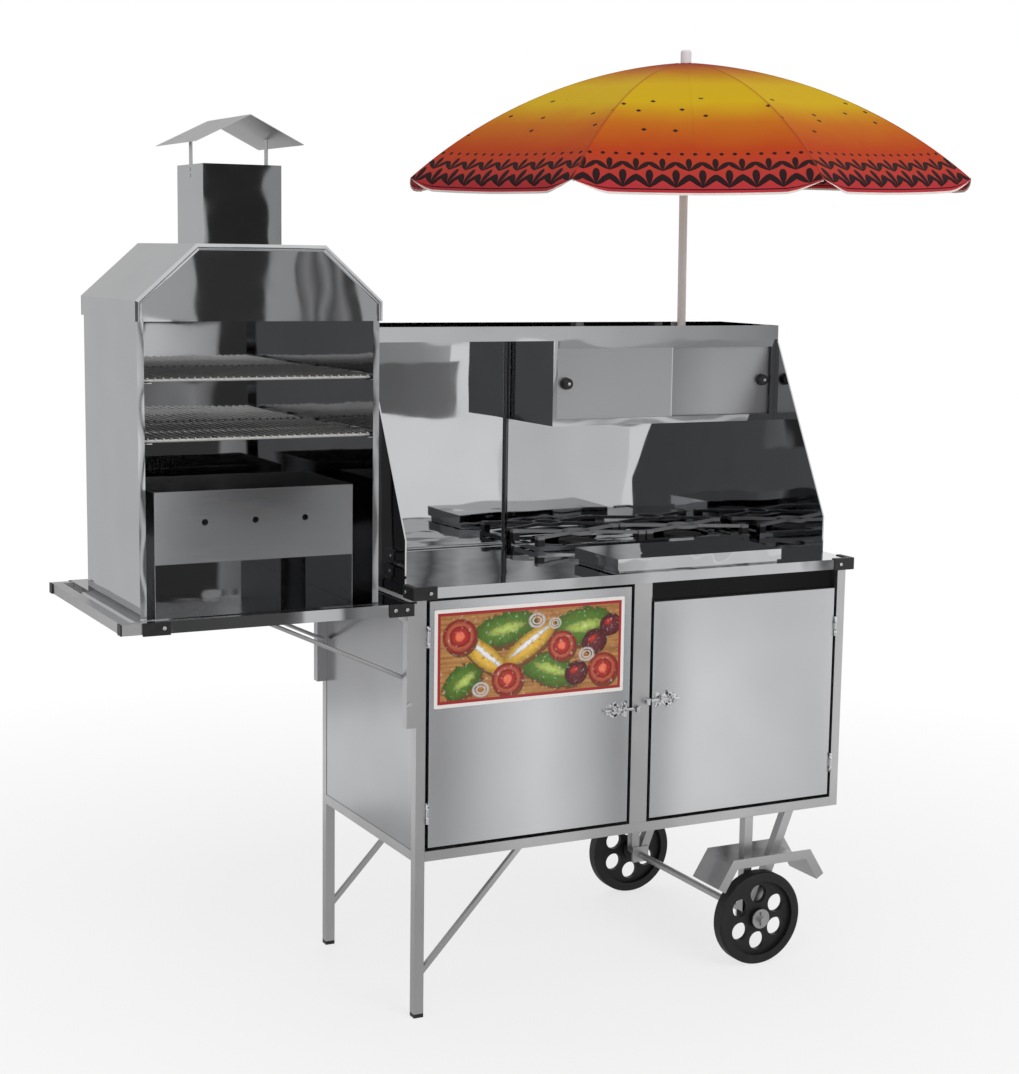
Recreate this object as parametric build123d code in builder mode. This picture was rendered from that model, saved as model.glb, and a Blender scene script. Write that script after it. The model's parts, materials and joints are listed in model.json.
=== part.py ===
from build123d import *
import os
from math import asin, atan2, cos, degrees, hypot, radians, sin, sqrt

os.makedirs("parts", exist_ok=True)

# Stainless hot dog cart with a side grill, an upper locker and a parasol. All sizes are millimetres.
# The cart stands on the floor, Z = 0. X runs along the cart to the right, Y from its front to its back.
# Places are given as distances from the cabinet's left face, from its front face and from the floor.

# Stock and clearances
tube = 20.0
tube_wall = 1.2
brace_tube = 10.0
sheet = 1.0
weld_gap = 0.2
slip = 0.3
running = 0.05

# Cabinet
cabinet_length = 1000.0
cabinet_depth = 480.0
rail_underside = 315.0
worktop_height = 855.0
worktop_lip = 21.0
worktop_overhang = 10.0
centre_post_width = 40.0
foot_height = 8.0
brace_top_reach = 230.0
brace_foot_height = 92.0

# Black plastic corners
corner_wall = 3.0
corner_arm = 48.0
corner_cover = 2.0
corner_flange = 8.0
corner_round = 2.5

# Doors, butt hinges and barrel bolts
door_gap = 7.0
door_depth = 20.0
right_door_slot = 42.0
hinge_length = 42.0
hinge_leaf = 1.2
hinge_leaf_width = 14.0
knuckle_radius = 3.0
hinge_pin_radius = 1.5
left_hinge_heights = (412.0, 759.0)
right_hinge_heights = (412.0, 710.0)
bolt_radius = 3.0
bolt_length = 66.0
bolt_travel = 11.0
bolt_standoff = 6.5
bolt_plate_length = 53.0
bolt_plate_height = 34.0
bolt_plate_wall = 2.0
bolt_guide_width = 6.0
bolt_guide_height = 13.0
bolt_tip_from_centre = 21.0
keeper_width = 8.0
keeper_from_centre = 8.0
bolt_knob_length = 12.0
left_bolt_height = 577.0
right_bolt_height = 590.0

# Splash surround and roof tray
surround_short = 19.0
surround_setback = 57.0
surround_rear = 480.0
surround_knee = 938.0
surround_pan = 3.0
back_panel_setback = 453.0
roof_setback = 250.0
roof_underside = 1307.0
roof_lip = 30.0
roof_rear_overhang = 4.0
seam_from_left = 409.0
seam_width = 12.0
seam_depth = 6.0
seam_round = 5.0

# Upper locker
locker_from_left = 423.0
locker_underside = 1129.0
locker_setback = 254.0
locker_bottom_flange = 14.0
locker_top_flange = 16.0
locker_side_flange = 10.0
locker_door_wall = 3.0
locker_door_overlap = 29.0
track_gap = 1.0
track_rib = 10.0
locker_knob_radius = 13.0
locker_knob_length = 14.0
locker_knob_inset = 21.0
locker_knob_taper = 8.0

# Griddle and pan frame on the worktop
griddle_from_left = 440.0
griddle_length = 393.0
griddle_depth = 178.0
griddle_height = 29.0
griddle_base_height = 7.0
griddle_base_inset = 6.0
griddle_plate = 5.0
hob_from_left = 424.0
hob_length = 540.0
hob_setback = 312.0
hob_depth = 137.0
hob_height = 12.0
hob_bar_width = 20.0
hob_bar_depth = 10.0
hob_leg = 14.0
support_ring_radius = 34.0
support_bar = 7.0
support_lift = 14.0
support_foot = 16.0
burner_radius = 42.0
burner_height = 8.0
burner_stand = 4.0

# Wheels, axle, struts and fenders
axle_from_right = 212.0
axle_radius = 8.0
wheel_radius = 100.0
wheel_width = 30.0
front_wheel_clearance = 3.0
rear_wheel_clearance = 20.0
wheel_hub_radius = 21.0
wheel_rim = 20.0
wheel_web = 11.0
wheel_hole_radius = 19.5
wheel_hole_circle = 51.0
wheel_holes = 6
wheel_edge_round = 5.0
washer_radius = 21.0
washer_wall = 2.5
cotter_radius = 2.0
cotter_reach = 15.0
axle_end = 14.0
strut_offset = 14.0
slope_foot_offset = 4.0
slope_top_offset = 88.0
axle_plate = 5.0
axle_plate_height = 36.0
axle_plate_drop = 15.0
axle_plate_reach = 18.0
fender_plate_height = 221.0
fender_channel = 20.0
fender_wall = 1.5
fender_shift = 16.0
fender_half_top = 86.0
fender_half_foot = 116.0
fender_drop = 48.0
fender_beyond_wheel = 14.0
fender_width = 100.0
strut_hole_reach = 12.0

# Side shelf with handle
shelf_height = 828.0
shelf_lip = 22.0
shelf_length = 521.0
shelf_gap = 14.0
handle_reach = 578.0
handle_cap = 3.0
handle_post_gap = 4.0
bracket_post_length = 242.0
bracket_post_drop = 3.0
shelf_pivot_out = 5.5
shelf_pivot_drop = 30.0
shelf_pin_radius = 3.0
shelf_eye_radius = 5.0
shelf_cheek = 3.0
clevis_inset = 2.0
clevis_edge = 2.0
prop_radius = 4.0
prop_hole_height = 675.0
prop_top_reach = 330.0

# Charcoal grill
grill_from_shelf_end = 1.0
grill_width = 460.0
grill_setback = 10.0
grill_depth = 345.0
grill_top = 1359.0
grill_flange = 12.0
hood_overhang = 4.0
hood_rim = 36.0
hood_slope_width = 112.0
hood_rise = 100.0
hood_flange = 14.0
hood_hem = 11.0
hood_hem_wall = 1.0
chimney_size = 150.0
chimney_height = 144.0
cap_half_width = 102.0
cap_length = 240.0
cap_rise = 50.0
cap_eaves_above_chimney = 36.0
strap_width = 15.0
strap_wall = 2.0
strap_overlap = 28.0
upper_rack_height = 1255.0
lower_rack_height = 1148.0
rack_rod_radius = 3.0
rack_wire_radius = 1.5
rack_wires = 30
rack_setback = 6.0
rack_side_gap = 2.0
ledge_width = 26.0
ledge_wall = 1.5
coal_box_width = 384.0
coal_box_depth = 240.0
coal_box_setback = 35.0
coal_box_top = 1053.0
coal_plate_underside = 921.0
coal_hole_radius = 6.0
coal_hole_pitch = 97.0
coal_hole_drop = 58.0

# Parasol
pole_from_right = 132.0
pole_from_front = 470.0
parasol_turn = -6.9
parasol_lean = 2.4
parasol_lean_way = -134.0
pole_radius = 9.5
pole_wall = 1.2
sleeve_radius = 11.0
sleeve_top = 1290.0
sleeve_insert = 150.0
socket_wall = 3.0
socket_height = 150.0
socket_base_length = 60.0
socket_base_depth = 46.0
roof_hole_radius = 12.0
canopy_radius = 640.0
canopy_top = 1907.5
canopy_rise = 251.0
canopy_half_way_drop = 68.0
canopy_wall = 2.0
canopy_hem = 25.0
canopy_notch_half_width = 62.0
rib_count = 8
rib_radius = 2.5
rib_drop = 8.0
rib_end_inset = 8.0
rib_fold = 27.0
crown_radius = 30.0
crown_half_height = 6.0
crown_pin_circle = 24.0
rib_tab = 3.0
rib_tab_length = 14.0
rib_eye_radius = 4.0
rib_pin_radius = 1.2
runner_drop = 170.0
runner_radius = 26.0
runner_pin_circle = 22.0
runner_sleeve_radius = 15.0
runner_sleeve_length = 46.0
stretcher_reach = 300.0
stretcher_depth = 6.0
finial_radius = 12.0
finial_height = 29.0
finial_stem = 5.0

# Places that are set from the cabinet's right end
surround_width = cabinet_length - surround_short
axle_from_left = cabinet_length - axle_from_right
pole_from_left = cabinet_length - pole_from_right

# Where the cabinet stands: the origin is on the floor under the middle of the whole outline
tip_height = canopy_top - canopy_rise
canopy_lean = (tip_height - roof_underside) * sin(radians(parasol_lean))
canopy_x = pole_from_left + canopy_lean * cos(radians(parasol_lean_way))
canopy_y = pole_from_front + canopy_lean * sin(radians(parasol_lean_way))
cart_left = (handle_reach - canopy_x - canopy_radius * cos(radians(parasol_turn))) / 2
cart_front = -canopy_y
corner_aligned = (Align.MIN, Align.MIN, Align.MIN)
on_end = (Align.CENTER, Align.CENTER, Align.MIN)
outwards = (Align.MIN, Align.CENTER, Align.CENTER)

# Levels and planes that several pieces share
rail_top = rail_underside + tube
lip_bottom = worktop_height - worktop_lip
frame_top = worktop_height - sheet - weld_gap
top_rail_bottom = frame_top - tube
rear_tube = cabinet_depth - tube
right_tube = cabinet_length - tube


def spot(x, y, z):
    """A point given from the cabinet's left face, its front face and the floor."""
    return (cart_left + x, cart_front + y, z)


def block(x, y, z, mode=Mode.ADD):
    """A box between pairs of distances from the left face, the front face and the floor."""
    with Locations(spot(x[0], y[0], z[0])):
        Box(x[1] - x[0], y[1] - y[0], z[1] - z[0], align=corner_aligned, mode=mode)


def inset(span, amount):
    """A span drawn in by the same amount at both ends."""
    return (span[0] + amount, span[1] - amount)


def hollow_tube(x, y, z, along):
    """A tube of rectangular section, open at both ends."""
    spans = [x, y, z]
    block(*spans)
    bore = [
        span if axis == along else (span[0] + tube_wall, span[1] - tube_wall)
        for axis, span in zip("xyz", spans)
    ]
    block(*bore, mode=Mode.SUBTRACT)


def rod(start, end, radius, mode=Mode.ADD):
    """A round bar between two points given as for spot."""
    first = Vector(*spot(*start))
    last = Vector(*spot(*end))
    with Locations(Plane(origin=first, z_dir=last - first)):
        Cylinder(radius, (last - first).length, align=on_end, mode=mode)


def save(piece, name):
    """Name a finished piece and write its file."""
    piece.part.label = name
    export_step(piece.part, f"parts/{name}.step")


def side_plane(y):
    """A vertical plane across the cart's front; its own x and y are distances along X and up."""
    return Plane(origin=spot(0, y, 0), x_dir=(1, 0, 0), z_dir=(0, -1, 0))


def end_plane(x):
    """A vertical plane across the cart's end; its own x and y are distances along Y and up."""
    return Plane(origin=spot(x, 0, 0), x_dir=(0, 1, 0), z_dir=(1, 0, 0))


# Sloping tubes of the frame: leg braces at the left, one strut of each pair at the axle
strut_foot = axle_from_left - strut_offset + tube / 2 + weld_gap
axle_height = wheel_radius
strut_underside = axle_height + axle_radius + weld_gap

with BuildPart() as leg_braces:
    for y in (tube / 2, cabinet_depth - tube / 2):
        foot = Vector(*spot(tube, y, brace_foot_height))
        top = Vector(*spot(brace_top_reach, y, rail_underside))
        run = (top - foot).normalized() * brace_tube
        with BuildSketch(Plane(origin=foot - run, x_dir=(0, 1, 0), z_dir=top - foot)):
            Rectangle(brace_tube, brace_tube)
            Rectangle(brace_tube - 2 * tube_wall, brace_tube - 2 * tube_wall, mode=Mode.SUBTRACT)
        extrude(amount=(top - foot).length + 2 * brace_tube)
    block(
        (tube + weld_gap, cabinet_length),
        (0, cabinet_depth),
        (0, rail_underside - weld_gap),
        mode=Mode.INTERSECT,
    )

with BuildPart() as sloping_struts:
    for y in (tube / 2, cabinet_depth - tube / 2):
        foot = Vector(*spot(axle_from_left + slope_foot_offset, y, axle_height))
        top = Vector(*spot(axle_from_left + slope_top_offset, y, rail_underside))
        run = (top - foot).normalized() * tube
        with BuildSketch(Plane(origin=foot - run, x_dir=(0, 1, 0), z_dir=top - foot)):
            Rectangle(tube, tube)
            Rectangle(tube - 2 * tube_wall, tube - 2 * tube_wall, mode=Mode.SUBTRACT)
        extrude(amount=(top - foot).length + 2 * tube)
    block(
        (strut_foot, cabinet_length),
        (0, cabinet_depth),
        (strut_underside, rail_underside - weld_gap),
        mode=Mode.INTERSECT,
    )

# Welded frame: each tube is its own solid, a weld seam apart from its neighbours
with BuildPart() as frame_tubes:
    for y in ((0, tube), (rear_tube, cabinet_depth)):
        hollow_tube((0, tube), y, (foot_height, frame_top), "z")
        hollow_tube((right_tube, cabinet_length), y, (rail_underside, frame_top), "z")
        for z in ((rail_underside, rail_top), (top_rail_bottom, frame_top)):
            hollow_tube((tube + weld_gap, right_tube - weld_gap), y, z, "x")
        strut_x = (strut_foot - weld_gap - tube, strut_foot - weld_gap)
        hollow_tube(strut_x, y, (strut_underside, rail_underside - weld_gap), "z")
    for x in ((0, tube), (right_tube, cabinet_length)):
        for z in ((rail_underside, rail_top), (top_rail_bottom, frame_top)):
            hollow_tube(x, (tube + weld_gap, rear_tube - weld_gap), z, "y")
    post_x = ((cabinet_length - centre_post_width) / 2, (cabinet_length + centre_post_width) / 2)
    hollow_tube(post_x, (0, tube), (rail_top + weld_gap, top_rail_bottom - weld_gap), "z")
    add(leg_braces.part)
    add(sloping_struts.part)
    plate_x = (strut_x[0], axle_from_left + axle_plate_reach)
    plate_z = (axle_height - axle_plate_drop, axle_height - axle_plate_drop + axle_plate_height)
    for y in (tube + weld_gap, rear_tube - weld_gap - axle_plate):
        block(plate_x, (y, y + axle_plate), plate_z)
        bearing = ((axle_from_left, y, axle_height), (axle_from_left, y + axle_plate, axle_height))
        rod(*bearing, axle_radius + running, mode=Mode.SUBTRACT)
save(frame_tubes, "frame_tubes")

# Black plastic caps under the two legs
with BuildPart() as foot_caps:
    for y in ((0, tube), (rear_tube, cabinet_depth)):
        block((0, tube), y, (0, foot_height))
save(foot_caps, "foot_caps")

# Cabinet sheets: sides and back stand between the posts, the floor lies on the bottom rails, and an apron
# closes the slot above the right door
panel_z = (rail_top + weld_gap, top_rail_bottom - weld_gap)
panel_y = (tube + weld_gap, rear_tube - weld_gap)
panel_x = (tube + weld_gap, right_tube - weld_gap)
with BuildPart() as cabinet_panels:
    block((sheet, 2 * sheet), panel_y, panel_z)
    block((cabinet_length - 2 * sheet, cabinet_length - sheet), panel_y, panel_z)
    block(panel_x, (cabinet_depth - 2 * sheet, cabinet_depth - sheet), panel_z)
    block(panel_x, panel_y, (rail_top - sheet, rail_top))
    apron_x = (post_x[1], right_tube - weld_gap)
    apron_z = (top_rail_bottom - right_door_slot + slip, frame_top - weld_gap)
    block(apron_x, (tube + weld_gap, tube + weld_gap + sheet), apron_z)
save(cabinet_panels, "cabinet_panels")

# Worktop: one sheet with its four edges folded down over the top rails
worktop_x = (-worktop_overhang, cabinet_length + worktop_overhang)
worktop_y = (-worktop_overhang, cabinet_depth + worktop_overhang)
with BuildPart() as worktop:
    block(worktop_x, worktop_y, (lip_bottom, worktop_height))
    block(
        (worktop_x[0] + sheet, worktop_x[1] - sheet),
        (worktop_y[0] + sheet, worktop_y[1] - sheet),
        (lip_bottom, worktop_height - sheet),
        mode=Mode.SUBTRACT,
    )
save(worktop, "worktop")


def ordered(a, b):
    """Two distances, the smaller one first."""
    return (min(a, b), max(a, b))


def corner_cap(x, x_in, y, y_in, arms, z, flange):
    """A plastic angle round a folded corner at x, y; x_in and y_in point into the sheet."""
    low = z[0] - corner_cover
    high = z[1] + (corner_cover if flange else 0)
    x_span = ordered(x - x_in * corner_wall, x + x_in * arms[0])
    y_span = ordered(y - y_in * corner_wall, y + y_in * arms[1])
    block(x_span, y_span, (low, high))
    x_sheet = ordered(x, x + x_in * 2 * arms[0])
    y_sheet = ordered(y, y + y_in * 2 * arms[1])
    block(x_sheet, y_sheet, (low, z[1]), mode=Mode.SUBTRACT)
    block(
        ordered(x + x_in * flange, x + x_in * 2 * arms[0]),
        ordered(y + y_in * flange, y + y_in * 2 * arms[1]),
        (low, high),
        mode=Mode.SUBTRACT,
    )


with BuildPart() as worktop_corners:
    for x, x_in in ((worktop_x[0], 1), (worktop_x[1], -1)):
        for y, y_in in ((worktop_y[0], 1), (worktop_y[1], -1)):
            arms = (corner_arm, corner_arm)
            corner_cap(x, x_in, y, y_in, arms, (lip_bottom, worktop_height), corner_flange)
    upright = worktop_corners.edges().filter_by(Axis.Z)
    tallest = max(edge.length for edge in upright)
    fillet(upright.filter_by(lambda edge: edge.length > tallest - sheet / 2), corner_round)
save(worktop_corners, "worktop_corners")


# Butt hinges: the fixed leaf holds the pin, the door's leaf turns on it
hinge_axis_y = -door_gap / 2
knuckle_third = (hinge_length - 2 * slip) / 3


def hinge_leaf_solid(x_axis, x_leaf, height, fixed):
    """One hinge leaf at a hinge axis; x_leaf is the leaf's span along X."""
    bottom = height - hinge_length / 2
    pitch = knuckle_third + slip
    thirds = [(bottom + n * pitch, bottom + n * pitch + knuckle_third) for n in range(3)]
    own = (thirds[0], thirds[2]) if fixed else (thirds[1],)
    clear_of_knuckle = hinge_axis_y + knuckle_radius + slip
    block(x_leaf, (clear_of_knuckle, hinge_leaf_width), (bottom, bottom + hinge_length))
    for z in own:
        block(x_leaf, (hinge_axis_y, hinge_leaf_width), z)
        rod((x_axis, hinge_axis_y, z[0]), (x_axis, hinge_axis_y, z[1]), knuckle_radius)
    if fixed:
        pin = ((x_axis, hinge_axis_y, bottom), (x_axis, hinge_axis_y, bottom + hinge_length))
        rod(*pin, hinge_pin_radius)
    else:
        pin = ((x_axis, hinge_axis_y, own[0][0]), (x_axis, hinge_axis_y, own[0][1]))
        rod(*pin, hinge_pin_radius + running, mode=Mode.SUBTRACT)


def door_pan(x, z):
    """A door: a front sheet with its edges folded back, open behind."""
    block(x, (0, door_depth), z)
    inside = (x[0] + sheet, x[1] - sheet), (sheet, door_depth), (z[0] + sheet, z[1] - sheet)
    block(*inside, mode=Mode.SUBTRACT)


left_hinge_x = tube + door_gap / 2
right_hinge_x = right_tube - door_gap / 2
left_door_x = (tube + door_gap, post_x[0] - door_gap)
right_door_x = (post_x[1] + door_gap, right_tube - door_gap)
door_bottom = rail_top + door_gap
left_door_z = (door_bottom, top_rail_bottom - door_gap)
right_door_z = (door_bottom, top_rail_bottom - right_door_slot)

with BuildPart() as left_door:
    door_pan(left_door_x, left_door_z)
    for height in left_hinge_heights:
        hinge_leaf_solid(left_hinge_x, (left_door_x[0] - hinge_leaf, left_door_x[0]), height, False)
save(left_door, "left_door")

with BuildPart() as right_door:
    door_pan(right_door_x, right_door_z)
    for height in right_hinge_heights:
        hinge_leaf_solid(right_hinge_x, (right_door_x[1], right_door_x[1] + hinge_leaf), height, False)
save(right_door, "right_door")

# Barrel bolts: left and right are mirrored about the centre post
centre_x = cabinet_length / 2
bolt_parts = (("left", -1, left_bolt_height), ("right", 1, right_bolt_height))
plate_from_centre = centre_post_width / 2 + 2 * door_gap
guide_pitch = bolt_plate_length - 2 * bolt_guide_width - door_gap
guide_from_centre = plate_from_centre + bolt_guide_width
knob_from_centre = guide_from_centre + bolt_guide_width + bolt_travel + bolt_radius + slip


def from_centre(way, near, far):
    """A span along X between two distances from the centre post, to the left or the right."""
    return ordered(centre_x + way * near, centre_x + way * far)


for side, way, height in bolt_parts:
    with BuildPart() as bolt_plate:
        tail = plate_from_centre + bolt_plate_length
        half = bolt_plate_height / 2
        waist = bolt_guide_height / 2
        with BuildSketch(side_plane(0)):
            with BuildLine():
                outline = [
                    (plate_from_centre, half),
                    (plate_from_centre + bolt_plate_length / 3, waist + bolt_plate_wall),
                    (plate_from_centre + bolt_plate_length / 2, half),
                    (tail - bolt_guide_width, waist + bolt_plate_wall),
                    (tail, 0),
                ]
                upper = [(centre_x + way * d, height + z) for d, z in outline]
                lower = [(centre_x + way * d, height - z) for d, z in reversed(outline[:-1])]
                Polyline(*upper, *lower, close=True)
            make_face()
        extrude(amount=bolt_plate_wall)
        for near in (guide_from_centre, guide_from_centre + guide_pitch - bolt_guide_width):
            guide_z = (height - waist, height + waist)
            guide_y = (-bolt_standoff - waist, -bolt_plate_wall)
            block(from_centre(way, near, near + bolt_guide_width), guide_y, guide_z)
        start = (centre_x + way * plate_from_centre, -bolt_standoff, height)
        end = (centre_x + way * tail, -bolt_standoff, height)
        rod(start, end, bolt_radius + running, mode=Mode.SUBTRACT)
    save(bolt_plate, f"{side}_bolt_plate")

    with BuildPart() as bolt:
        tip = (centre_x + way * bolt_tip_from_centre, -bolt_standoff, height)
        end = (centre_x + way * (bolt_tip_from_centre + bolt_length), -bolt_standoff, height)
        rod(tip, end, bolt_radius)
        knob_x = centre_x + way * knob_from_centre
        knob_end = (knob_x, -bolt_standoff - bolt_knob_length, height)
        rod((knob_x, -bolt_standoff, height), knob_end, bolt_radius)
    save(bolt, f"{side}_bolt")

# Fixed ironmongery on the posts: hinge leaves with their pins, and the two keepers
with BuildPart() as post_hardware:
    for height in left_hinge_heights:
        hinge_leaf_solid(left_hinge_x, (tube, tube + hinge_leaf), height, True)
    for height in right_hinge_heights:
        hinge_leaf_solid(right_hinge_x, (right_tube - hinge_leaf, right_tube), height, True)
    for side, way, height in bolt_parts:
        keeper_x = from_centre(way, keeper_from_centre, keeper_from_centre + keeper_width)
        waist = bolt_guide_height / 2
        block(keeper_x, (-bolt_standoff - waist, 0), (height - waist, height + waist))
        start = (keeper_x[0], -bolt_standoff, height)
        end = (keeper_x[1], -bolt_standoff, height)
        rod(start, end, bolt_radius + slip, mode=Mode.SUBTRACT)
save(post_hardware, "post_hardware")

# Splash surround: two pans with sloped fronts, their sheet towards the inside
surround_top = roof_underside - weld_gap
surround_base = worktop_height
with BuildPart() as surround_sides:
    for skin_x, way in ((surround_pan, -1), (surround_width - surround_pan, 1)):
        outline = [
            (surround_setback, surround_base),
            (surround_rear, surround_base),
            (surround_rear, surround_top),
            (roof_setback, surround_top),
            (surround_setback, surround_knee),
        ]
        with BuildSketch(end_plane(skin_x)) as side_outline:
            with BuildLine():
                Polyline(*outline, close=True)
            make_face()
        extrude(amount=way * surround_pan)
        with BuildSketch(end_plane(skin_x + way * sheet)):
            add(side_outline.sketch_local)
            offset(amount=-sheet, mode=Mode.REPLACE)
        extrude(amount=way * surround_pan, mode=Mode.SUBTRACT)
save(surround_sides, "surround_sides")

# Polished back panel and the trim over its seam
with BuildPart() as surround_back:
    panel_x = (surround_pan + weld_gap, surround_width - surround_pan - weld_gap)
    block(panel_x, (back_panel_setback, back_panel_setback + sheet), (surround_base, surround_top))
    seam_x = (seam_from_left, seam_from_left + seam_width)
    block(seam_x, (back_panel_setback - seam_depth, back_panel_setback), (surround_base, surround_top))
    upright = surround_back.edges().filter_by(Axis.Z).group_by(Axis.Y)[0]
    fillet(upright, seam_round)
save(surround_back, "surround_back")

# Roof tray with upturned lips and a hole for the parasol's pole
roof_y = (roof_setback, surround_rear + roof_rear_overhang)
roof_z = (roof_underside, roof_underside + roof_lip)
with BuildPart() as roof_tray:
    block((0, surround_width), roof_y, roof_z)
    block(
        (sheet, surround_width - sheet),
        (roof_y[0] + sheet, roof_y[1] - sheet),
        (roof_z[0] + sheet, roof_z[1]),
        mode=Mode.SUBTRACT,
    )
    rod(
        (pole_from_left, pole_from_front, roof_z[0]),
        (pole_from_left, pole_from_front, roof_z[1]),
        roof_hole_radius,
        mode=Mode.SUBTRACT,
    )
save(roof_tray, "roof_tray")

# Upper locker: a box open at the front, with two tracks top and bottom for its doors
locker_x = (locker_from_left, surround_width - surround_pan - weld_gap)
locker_y = (locker_setback, back_panel_setback - weld_gap)
locker_z = (locker_underside, roof_underside - weld_gap)
front_door_y = (locker_setback + sheet + track_gap, locker_setback + sheet + track_gap + locker_door_wall)
middle_rib_y = (front_door_y[1] + track_gap, front_door_y[1] + track_gap + sheet)
rear_door_y = (middle_rib_y[1] + track_gap, middle_rib_y[1] + track_gap + locker_door_wall)
rear_rib_y = (rear_door_y[1] + track_gap, rear_door_y[1] + track_gap + sheet)
locker_inner_x = (locker_x[0] + sheet, locker_x[1] - sheet)
locker_inner_z = (locker_z[0] + sheet, locker_z[1] - sheet)
with BuildPart() as upper_locker:
    block(locker_x, locker_y, locker_z)
    block(locker_inner_x, (locker_y[0] + sheet, locker_y[1] - sheet), locker_inner_z, mode=Mode.SUBTRACT)
    block(
        (locker_x[0] + locker_side_flange, locker_x[1] - locker_side_flange),
        (locker_y[0], locker_y[0] + sheet),
        (locker_z[0] + locker_bottom_flange, locker_z[1] - locker_top_flange),
        mode=Mode.SUBTRACT,
    )
    for rib_y in (middle_rib_y, rear_rib_y):
        block(locker_inner_x, rib_y, (locker_inner_z[0], locker_inner_z[0] + track_rib))
        block(locker_inner_x, rib_y, (locker_inner_z[1] - track_rib, locker_inner_z[1]))
save(upper_locker, "upper_locker")

locker_door_z = (locker_inner_z[0] + slip, locker_inner_z[1] - slip)
locker_middle = (locker_inner_x[0] + locker_inner_x[1]) / 2
locker_door_x = {
    "left": (locker_inner_x[0] + slip, locker_middle + locker_door_overlap / 2),
    "right": (locker_middle - locker_door_overlap / 2, locker_inner_x[1] - slip),
}
locker_knob_x = {
    "left": locker_x[0] + locker_side_flange + locker_knob_inset,
    "right": locker_x[1] - locker_side_flange - locker_knob_inset,
}
locker_knob_z = (locker_z[0] + locker_z[1]) / 2
for side, door_y in (("left", front_door_y), ("right", rear_door_y)):
    with BuildPart() as locker_door:
        block(locker_door_x[side], door_y, locker_door_z)
    save(locker_door, f"locker_door_{side}")

    with BuildPart() as locker_knob:
        with BuildSketch(Plane(origin=spot(locker_knob_x[side], door_y[0], locker_knob_z), z_dir=(0, -1, 0))):
            Circle(locker_knob_radius)
        extrude(amount=locker_knob_length, taper=locker_knob_taper)
        front_rim = locker_knob.faces().sort_by(Axis.Y)[0].edges()
        fillet(front_rim, locker_knob_radius / 4)
    save(locker_knob, f"locker_knob_{side}")

# Griddle: a thick plate in a polished skirt, standing on a smaller base
griddle_x = (griddle_from_left, griddle_from_left + griddle_length)
griddle_y = (0, griddle_depth)
griddle_z = (worktop_height + slip, worktop_height + griddle_height)
skirt_bottom = griddle_z[0] + griddle_base_height
with BuildPart() as griddle:
    block(griddle_x, griddle_y, (skirt_bottom, griddle_z[1]))
    under_plate = (skirt_bottom, griddle_z[1] - griddle_plate)
    block(inset(griddle_x, sheet), inset(griddle_y, sheet), under_plate, mode=Mode.SUBTRACT)
    base_x = inset(griddle_x, griddle_base_inset)
    base_y = inset(griddle_y, griddle_base_inset)
    base_z = (griddle_z[0], griddle_z[1] - griddle_plate)
    block(base_x, base_y, base_z)
    block(inset(base_x, sheet), inset(base_y, sheet), base_z, mode=Mode.SUBTRACT)
save(griddle, "griddle")

# Pan frame: four flat bars with a lip, on four short legs
hob_x = (hob_from_left, hob_from_left + hob_length)
hob_y = (hob_setback, hob_setback + hob_depth)
hob_z = (worktop_height, worktop_height + hob_height)
with BuildPart() as pan_frame:
    block(hob_x, hob_y, (hob_z[1] - hob_bar_depth, hob_z[1]))
    under_bar = (hob_z[1] - hob_bar_depth, hob_z[1] - sheet)
    block(inset(hob_x, sheet), inset(hob_y, sheet), under_bar, mode=Mode.SUBTRACT)
    block(inset(hob_x, hob_bar_width), inset(hob_y, hob_bar_width), hob_z, mode=Mode.SUBTRACT)
    for x in ((hob_x[0], hob_x[0] + hob_leg), (hob_x[1] - hob_leg, hob_x[1])):
        for y in ((hob_y[0], hob_y[0] + hob_leg), (hob_y[1] - hob_leg, hob_y[1])):
            block(x, y, hob_z)
save(pan_frame, "pan_frame")

# Cast pan supports stand on the frame's bars, with a burner under each
support_z = (hob_z[1] + support_lift, hob_z[1] + support_lift + support_bar)
cell_half = hob_length / 4
burner_centres = [(hob_x[0] + cell_half, sum(hob_y) / 2), (hob_x[1] - cell_half, sum(hob_y) / 2)]
foot_x = cell_half - hob_bar_width / 2
foot_y = hob_depth / 2 - hob_bar_width / 2
finger_reach = hypot(foot_x, foot_y)
finger_turn = degrees(atan2(foot_y, foot_x))
finger_angles = (finger_turn, 180 - finger_turn, 180 + finger_turn, -finger_turn)
with BuildPart() as cast_burners:
    for x, y in burner_centres:
        with BuildSketch(Plane(origin=spot(x, y, support_z[0]))):
            Circle(support_ring_radius)
            Circle(support_ring_radius - support_bar, mode=Mode.SUBTRACT)
            for angle in finger_angles:
                with Locations(Rotation(0, 0, angle)):
                    with Locations((support_ring_radius - support_bar / 2, 0)):
                        finger = finger_reach - support_ring_radius
                        Rectangle(finger, support_bar, align=(Align.MIN, Align.CENTER))
        extrude(amount=support_bar)
        for x_shift in (-foot_x, foot_x):
            for y_shift in (-foot_y, foot_y):
                stand_x = (x + x_shift - support_foot / 2, x + x_shift + support_foot / 2)
                stand_y = (y + y_shift - support_foot / 2, y + y_shift + support_foot / 2)
                block(stand_x, stand_y, (hob_z[1], support_z[1]))
        foot = (x, y, worktop_height)
        waist = (x, y, worktop_height + burner_stand)
        rod(foot, waist, burner_radius / 2)
        rod(waist, (x, y, worktop_height + burner_stand + burner_height), burner_radius)
save(cast_burners, "cast_burners")

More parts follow.
